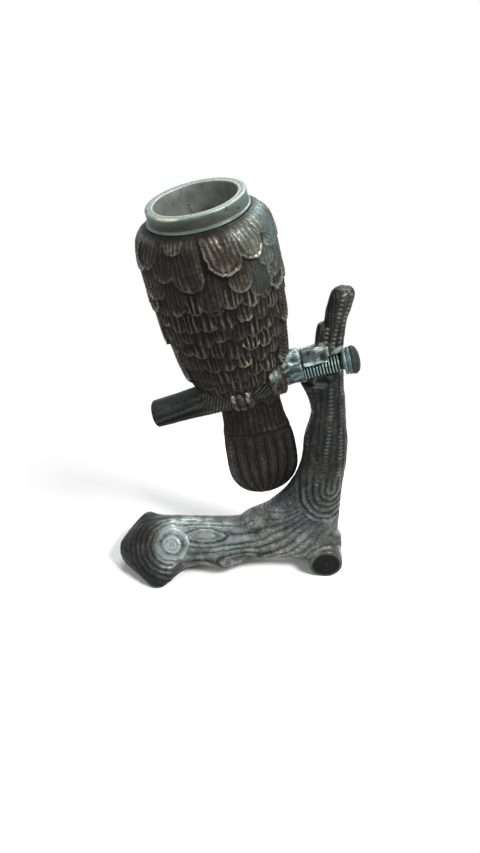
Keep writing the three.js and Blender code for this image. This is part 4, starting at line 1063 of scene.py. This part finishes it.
def settle(mesh, rounds):
    """Smooth the seam where the trunk stands on the log, and the edge of the boss."""
    p = vertex_data(mesh)
    edges = np.empty(len(mesh.edges) * 2, np.int32)
    mesh.edges.foreach_get("vertices", edges)
    a, b = edges.reshape(-1, 2).T
    count = len(p)
    links = np.maximum(np.bincount(a, minlength=count) + np.bincount(b, minlength=count), 1)
    mask = band(p[:, 2], 6, 12, 24, 34) * band(p[:, 0], -8, -2, 20, 27)
    mask = 0.8 * np.maximum(mask, smooth(7.5, 5.5, np.linalg.norm(p - BOSS, axis=1)))
    for _ in range(rounds):
        near = np.stack([np.bincount(a, p[b, k], count) + np.bincount(b, p[a, k], count)
                         for k in range(3)], -1) / links[:, None]
        p = p + mask[:, None] * (near - p)
    move_points(mesh, p)


# Rows of beads that run down the trunk and the stubs: heights, places across, half width
LADDERS = [
    ([42.0, 48.5, 57.4, 61.8, 66.9, 72.6], [23.2, 19.6, 19.7, 21.2, 21.6, 19.6], 0.62),
    ([36.0, 39.2, 46.6, 53.8, 60.9, 70.3], [23.0, 24.2, 25.0, 25.7, 26.0, 25.5], 0.62),
    ([38.0, 48.0, 58.0, 68.0, 76.0], [29.5, 29.6, 29.2, 28.8, 28.2], 0.6),
    ([36.0, 41.0, 46.5], [13.3, 14.9, 16.6], 0.55),
    ([79.9, 83.5, 89.7, 97.8], [25.2, 25.5, 26.3, 27.2], 0.5),
    ([79.9, 83.5, 89.7, 97.8], [27.1, 27.2, 28.1, 29.5], 0.44),
    ([79.0, 82.0, 87.5], [23.5, 23.4, 23.6], 0.44),
]

# Lens-shaped knots of the log: x, place across the grain, half length, half width
LENS_KNOTS = [(-11.0, 27.2, 7.4, 2.0), (-0.5, 33.5, 7.2, 2.3), (15.5, 21.5, 3.6, 1.8)]


def tree_fields(p, normal):
    """Grain of the tree: its relief, and its colour marks, which carry painted light and shade as
    well as grain, wear and verdigris.
    """
    x, y, z = p[:, 0], p[:, 1], p[:, 2]
    wave = fractal(p * (0.5, 0.8, 0.8), 6.0, 3, 12)
    # where the grain runs: along the log, up the trunk, round the corner between them
    half_log = 8.2
    log_round = np.arctan2(z - half_log, -(y + 0.2))
    log_down = LOG_HIGH - 0.72 * half_log * np.abs(wrapped(log_round - pi / 2))
    trunk_mid = np.interp(z, [15, 25, 40, 60, 80], [20, 22, 25, 25.3, 24.6])
    trunk_round = np.arctan2(np.abs(y), x - trunk_mid)
    trunk_across = trunk_mid + (pi / 2 - trunk_round) * 5.6
    trunkness = smooth(13, 30, z)
    xe = mix(x, trunk_across, trunkness)
    ze = mix(log_down, z, trunkness)
    corner_x, corner_z = -1.0, 40.0
    right, below = xe - corner_x, corner_z - ze
    stream = np.where(xe < corner_x, below, np.where(ze > corner_z, right, np.hypot(right, below)))
    stream = stream + 1.1 * wave
    front = smooth(0.5, -2.5, y)
    # the lens-shaped knots push the grain apart; lens is the distance in shares of their size
    lens, inside, bold = np.zeros((3, len(x)))
    for kx, ks, long, wide in LENS_KNOTS:
        q = np.hypot((x - kx) / long, (stream - ks) / wide)
        within = front * smooth(1.15, 0.95, q)
        pushed = ks + (stream - ks) * (1 - 1 / np.maximum(q, 1.0) ** 2)
        stream = mix(stream, pushed, front * smooth(3.5, 1.0, q))
        bold = np.maximum(bold, front * smooth(2.6, 1.4, q))
        lens = mix(lens, q, within)
        inside = np.maximum(inside, within)
    # the ringed boss and its arcs toward the left end of the log
    away = np.linalg.norm(p - BOSS, axis=1)
    arcs = smooth(-19.5, -22.5, x) * smooth(17, 11, away) * smooth(2.0, -2.0, y)
    near_boss = smooth(5.0, 4.2, away)
    # U-shaped grain over the foot knot
    ux, uz = 27.7, 33.3
    u = np.where(z > uz, np.abs(x - ux), np.hypot(x - ux, (uz - z) / 1.22))
    u_mask = smooth(11.8, 10.2, u) * smooth(0.5, -2.0, y) * smooth(44, 35, z) * smooth(9, 13, z)
    foot_away = np.linalg.norm((p - FOOT_KNOT)[:, [0, 2]], axis=1)
    foot_arcs = smooth(9.0, 6.5, foot_away) * smooth(-1.0, -3.5, y) * smooth(14, 11, z)
    fine = fractal(p, 2.6, 2, 34)
    grain = grooves(stream + 0.25 * fine, 2.1)
    grain = mix(grain, 1 - 0.9 * bump(lens, 1.0, 0.16) - 0.35 * bump(lens, 0.5, 0.12), inside)
    grain = mix(grain, grooves(u + 0.75 * wave + 0.35 * fine, 1.9), u_mask)
    grain = mix(grain, grooves(away + 0.5 * wave, 1.7), arcs)
    grain = mix(grain, grooves(foot_away + 0.3 * wave, 1.6), foot_arcs)
    plain = smooth(0.35, 0.75, normal[:, 2]) * smooth(-14, -8, x) * smooth(24, 14, x)
    patchy = smooth(-0.5, 0.25, fractal(p, 9.0, 2, 33))
    high_up = smooth(38, 46, z)
    depth = 0.26 * (0.25 + 0.75 * patchy) * (1 - 0.85 * plain)
    depth = mix(depth, 0.24, high_up)
    depth = mix(depth, 0.42, bold * smooth(22, 16, z))
    depth = mix(depth, 0.38 + 0.16 * patchy, u_mask)
    depth = mix(depth, 0.4, arcs * (1 - near_boss))
    relief = depth * (grain - 0.8)
    # rows of beads
    beads = np.zeros_like(x)
    rungs = grooves(z + 0.25 * wave, 1.27, 0.8)
    for heights, places, wide in LADDERS:
        ends = band(z, heights[0] - 1, heights[0] + 0.5, heights[-1] - 0.3, heights[-1] + 1)
        far = x - np.interp(z, heights, places)
        beads = np.maximum(beads, ends * np.exp(-(far / wide) ** 4))
    beads = beads * (0.35 + 0.65 * smooth(-0.35, 0.2, noise(p, 2.4, 77)))
    relief = mix(relief, 0.52 * (rungs - 0.45), beads)
    # the boss's own rings, and the face of the foot knot
    uneven = away + 0.5 * noise(p, 2.2, 61)
    boss_ring = 0.07 * np.cos(tau * uneven / 1.25) - 0.22 * bump(uneven, 3.6, 0.5)
    boss_ring = boss_ring + 0.12 * bump(uneven, 4.6, 0.7)
    relief = mix(relief, boss_ring, smooth(6.2, 4.9, away))
    knot_face = smooth(-7.0, -7.6, y) * smooth(5.8, 5.2, foot_away)
    face = 0.26 * (grooves(foot_away + 0.7 * noise(p, 2.2, 62), 1.6) - 0.5)
    face = face - 0.35 * smooth(4.6, 4.0, foot_away) + 0.25 * bump(foot_away, 4.9, 0.5)
    relief = mix(relief, face, knot_face)
    # rough bark on the lug beside the perch; the eye behind the ribs stays smooth
    local = from_perch(p)
    along, _, rise = local.T
    off = np.hypot(local[:, 1], rise)
    lug = smooth(23.4, 22.2, along) * smooth(7.2, 6.2, off) * smooth(11, 13, along)
    eye = smooth(24.2, 24.8, along) * smooth(4.6, 4.2, off) * smooth(30, 29, along)
    relief = mix(relief, rough_bark(local), lug)
    relief = mix(relief, 0.0, eye)
    relief = relief + (0.1 * fractal(p, 1.3, 3, 90) + 0.1 * fractal(p, 4.0, 2, 91)) * (
        1 - 0.7 * eye)
    mottle = fractal(local, 1.5, 2, 38)
    height = unit(0.55 + relief / mix(0.62, 0.34, lug) + 0.8 * lug * mottle)
    blotch = 0.3 + 0.85 * smooth(-0.3, 0.2, fractal(local, 2.2, 2, 39))
    # the lug's mark is strengthened on its upper side and cut away underneath: a painted highlight
    # on top and painted shade below, over real blotches; it drives the lug's brightness and
    # verdigris
    lug = lug * (0.45 + 0.75 * smooth(-1.5, 3.5, rise)) * blotch
    lug = lug * (1 - 0.85 * smooth(-0.8, -2.6, rise))
    return relief, tree_marks(
        x, y, z, normal, away, foot_away, knot_face, beads * rungs, lug, eye, high_up, height)


def tree_marks(x, y, z, normal, away, foot_away, knot_face, beads, lug, eye, high_up, height):
    """Marks of the tree, out of its fields: away is the distance from the boss. Besides grain, wear
    and verdigris they carry painted light and shade.
    """
    up = smooth(0.1, 0.7, normal[:, 2])
    verd = 0.16 + 0.4 * up * smooth(30, 15, z) + 0.24 * smooth(9, 4, away)
    verd = verd + 0.16 * smooth(3, -3, y) * smooth(20, 12, z) * band(x, -26, -20, -6, 12)
    verd = verd * smooth(-31, -25, x) + 0.25 * smooth(84, 90, z)
    verd = verd * (1 - 0.9 * knot_face) * (1 - 0.5 * high_up) + 1.1 * np.maximum(lug, eye)
    # Brightness by height: the log is lighter, most near its top where this is partly a painted
    # sheen, and the trunk is darker. It also gets darker toward the left end. Painted shade lies on
    # the face of the foot knot and on the low left of the log. Upward faces low on the log, right
    # of its left end, are a quarter darker.
    tone = np.interp(z, [0, 6, 18, 30, 42, 75, 85], [1.3, 2.15, 2.45, 1.15, 0.42, 0.38, 0.58])
    tone = tone * mix(1.0, 0.14, smooth(-22, -30, x)) * mix(1.0, 0.3, knot_face)
    tone = tone * mix(1.0, 0.34, smooth(9, 4, z) * smooth(-15, -20, x))
    tone = tone * (1 - 0.25 * up * smooth(20, 15, z) * smooth(-20, -16, x))
    # painted highlight on the lug, a lighter eye, and painted glints on the beads
    tone = tone * (1 + 6.4 * np.maximum(lug, 0.5 * eye))
    tone = tone * (1 + beads * mix(0.8, 1.3, smooth(76, 80, z)))
    toe = bump(x, -19.6, 5.2) * bump(z, 7.3 + 0.22 * (x + 19.6), 1.3) * smooth(-6, -9, y)
    # painted highlight on the upper rim of the foot knot; gilt rub on the toe, and painted glints
    # on the beads
    rub = 0.5 * bump(foot_away, 5.2, 0.5) * smooth(-5.5, -7.0, y) * smooth(3, 6, z)
    rub = rub + 0.8 * toe * (0.5 + 0.5 * height) + 0.16 * beads * (1 + 0.8 * smooth(26, 29, x))
    rub = rub + 0.22 * height * bump(x, 22.5, 6) * bump(z, 22, 6) * smooth(0, -3, y)
    return {"height": height, "rub": unit(rub), "verd": unit(verd),
            "tone": np.clip(tone, 0.1, 2.6)}


def tree_block():
    """Log, trunk, stubs, bracket, knots, lug and eye as one closed skin, without grain."""
    lug = (BOSS_SHIFT * cos(BOSS_DIRECTION), BOSS_SHIFT * sin(BOSS_DIRECTION))
    block = solid_object("tree_block", [
        log_rings(),
        upright(TRUNK_STATIONS, 0.0, TRUNK_HIGH, TRUNK_X, TRUNK_WIDE, TRUNK_DEEP, 110),
        upright(TALL_STUB, 74.0, 98.3, 25.6, 3.0, 2.9),
        upright(SHORT_STUB, 74.0, 87.6, 22.4, 1.8, 2.9),
        upright(BRACKET, 56.0, 69.6, TRUNK_X, TRUNK_WIDE, 2.9),
        knot_rings(5.4, 6.0, pi / 2, 0.0, FOOT_KNOT),
        knot_rings(4.1, 6.0, radians(48), radians(-8), BOSS),
        rod_rings(PERCH_RADIUS, PERCH_RIGHT + 0.3, 22.5, 6, lug),
        rod_rings(3.7, EYE_LEFT, EYE_RIGHT, 3),
    ])
    union = block.modifiers.new("union", "REMESH")
    union.mode = "VOXEL"
    union.voxel_size = VOXEL
    soften = block.modifiers.new("soften", "SMOOTH")
    soften.factor = 0.5
    soften.iterations = 8
    mesh = applied(block)
    bpy.data.objects.remove(block)
    settle(mesh, SETTLE_ROUNDS)
    return mesh


def tree_cutters():
    """Closed skins to cut from the tree: bore and window for the screw, seat of the head, floor."""
    left, reach = PERCH_RIGHT - 2, 12.0
    window = np.array([[(x, -reach, -3.1), (x, -0.3, -3.1), (x, -0.3, 3.1), (x, -reach, 3.1)]
                       for x in (left, EYE_LEFT)])
    floor = np.array([[(x, -40, -20), (x, 40, -20), (x, 40, 0), (x, -40, 0)]
                      for x in (-80.0, 80.0)])
    shapes = {"cut_bore": rod_rings(2.7, left, EYE_RIGHT + 2), "cut_window": on_perch(window),
              "cut_head": rod_rings(4.0, EYE_RIGHT, EYE_RIGHT + 14), "cut_floor": floor}
    return [solid_object(name, [rings]) for name, rings in shapes.items()]


def tree_cast():
    mesh = tree_block()
    p, n = vertex_data(mesh), vertex_data(mesh, "normal")
    relief, _ = tree_fields(p, n)
    move_points(mesh, p + n * relief[:, None])
    ob = in_scene("tree_grain", mesh)
    cutters = tree_cutters()
    for cutter in cutters:
        cut = ob.modifiers.new("cut", "BOOLEAN")
        cut.operation, cut.solver, cut.object = "DIFFERENCE", "EXACT", cutter
    final = applied(ob)
    for used in [ob, *cutters]:
        bpy.data.objects.remove(used)
    p = vertex_data(final)
    _, marks = tree_fields(p, vertex_data(final, "normal"))
    move_points(final, to_world(p))
    dress("tree_cast", final, "tree", "tree_metal", ["tree_base"], marks)


# ---- build ----
fastener = fastener_metal()
feathered_body()
tail_fan()
perch_branch()
for foot in FEET:
    claw(*foot)
ribbed_screw()
pinch_washer()
neck_ring()
inner_cup()
tree_cast()

for name in ("body_screw_left", "body_screw_right", "tail_rivet_left", "tail_rivet_right"):
    for slot in frame["nodes"][name].material_slots:
        slot.material = fastener


# ---- floor, light, camera ----
def make_floor():
    """A pale floor that fades out round the holder, so that the background stays white."""
    reach, fade_from, fade_to = 3.0, 0.042, 0.1
    corners = np.array([(-1, -1, 0), (1, -1, 0), (1, 1, 0), (-1, 1, 0)]) * reach
    mesh = new_mesh("floor", corners, [(0, 1, 2, 3)])
    ob = in_scene("floor", mesh)
    ob.location = (0, 0, -0.00002)
    n = metal_nodes("floor")
    pale = n.add("BsdfDiffuse")
    n.feed(pale.inputs["Color"], (0.8, 0.8, 0.8))
    far = n.add("VectorMath", operation="LENGTH")
    n.feed(far.inputs[0], n.add("TexCoord").outputs["Object"])
    n.pick(n.span(far.outputs["Value"], fade_from, fade_to), pale, n.add("BsdfTransparent"))
    mesh.materials.append(n.owner)


def make_world():
    """White to the camera, in reflections and through glass, and a dimmer light on the holder."""
    bpy.context.scene.world = bpy.data.worlds.new("studio")
    n = Nodes(bpy.context.scene.world, "OutputWorld")
    seen, lit = n.add("Background"), n.add("Background")
    n.feed(seen.inputs["Color"], (1, 1, 1))
    n.feed(seen.inputs["Strength"], 1.0)
    n.feed(lit.inputs["Strength"], 0.45)
    path = n.add("LightPath")
    shown = path.outputs["Is Camera Ray"]
    for ray in ("Is Glossy Ray", "Is Transmission Ray"):
        shown = n.math("MAXIMUM", shown, path.outputs[ray])
    n.pick(shown, lit, seen)


def area_light(name, place, target, size, power, colour):
    data = bpy.data.lights.new(name, "AREA")
    data.shape = "RECTANGLE"
    data.size, data.size_y = size
    data.energy = power
    data.color = colour
    ob = in_scene(name, data)
    ob.location = place
    direction = Vector(target) - Vector(place)
    ob.rotation_euler = direction.to_track_quat("-Z", "Y").to_euler()


make_floor()
make_world()
area_light("key", (0.42, -0.3, 0.62), (0, 0, 0.07), (0.22, 0.22), 9.0, (1.0, 0.98, 0.95))
area_light("side", (-0.6, -0.5, 0.45), (0, 0, 0.06), (0.3, 0.4), 2.2, (0.92, 0.97, 1.0))
area_light("back", (0.1, 0.55, 0.6), (0, 0, 0.08), (0.5, 0.3), 5.0, (1, 1, 1))

SENSOR = 36
FOCAL_SHARE = 850 / 853
camera_data = bpy.data.cameras.new("camera")
camera_data.sensor_width = SENSOR
camera_data.lens = SENSOR * FOCAL_SHARE
camera = in_scene("camera", camera_data)
camera.location = (SHIFT_X * MM, -0.205, 0.197)
camera.rotation_euler = (radians(55), 0, 0)
bpy.context.scene.camera = camera
bpy.context.scene.view_settings.view_transform = "Standard"
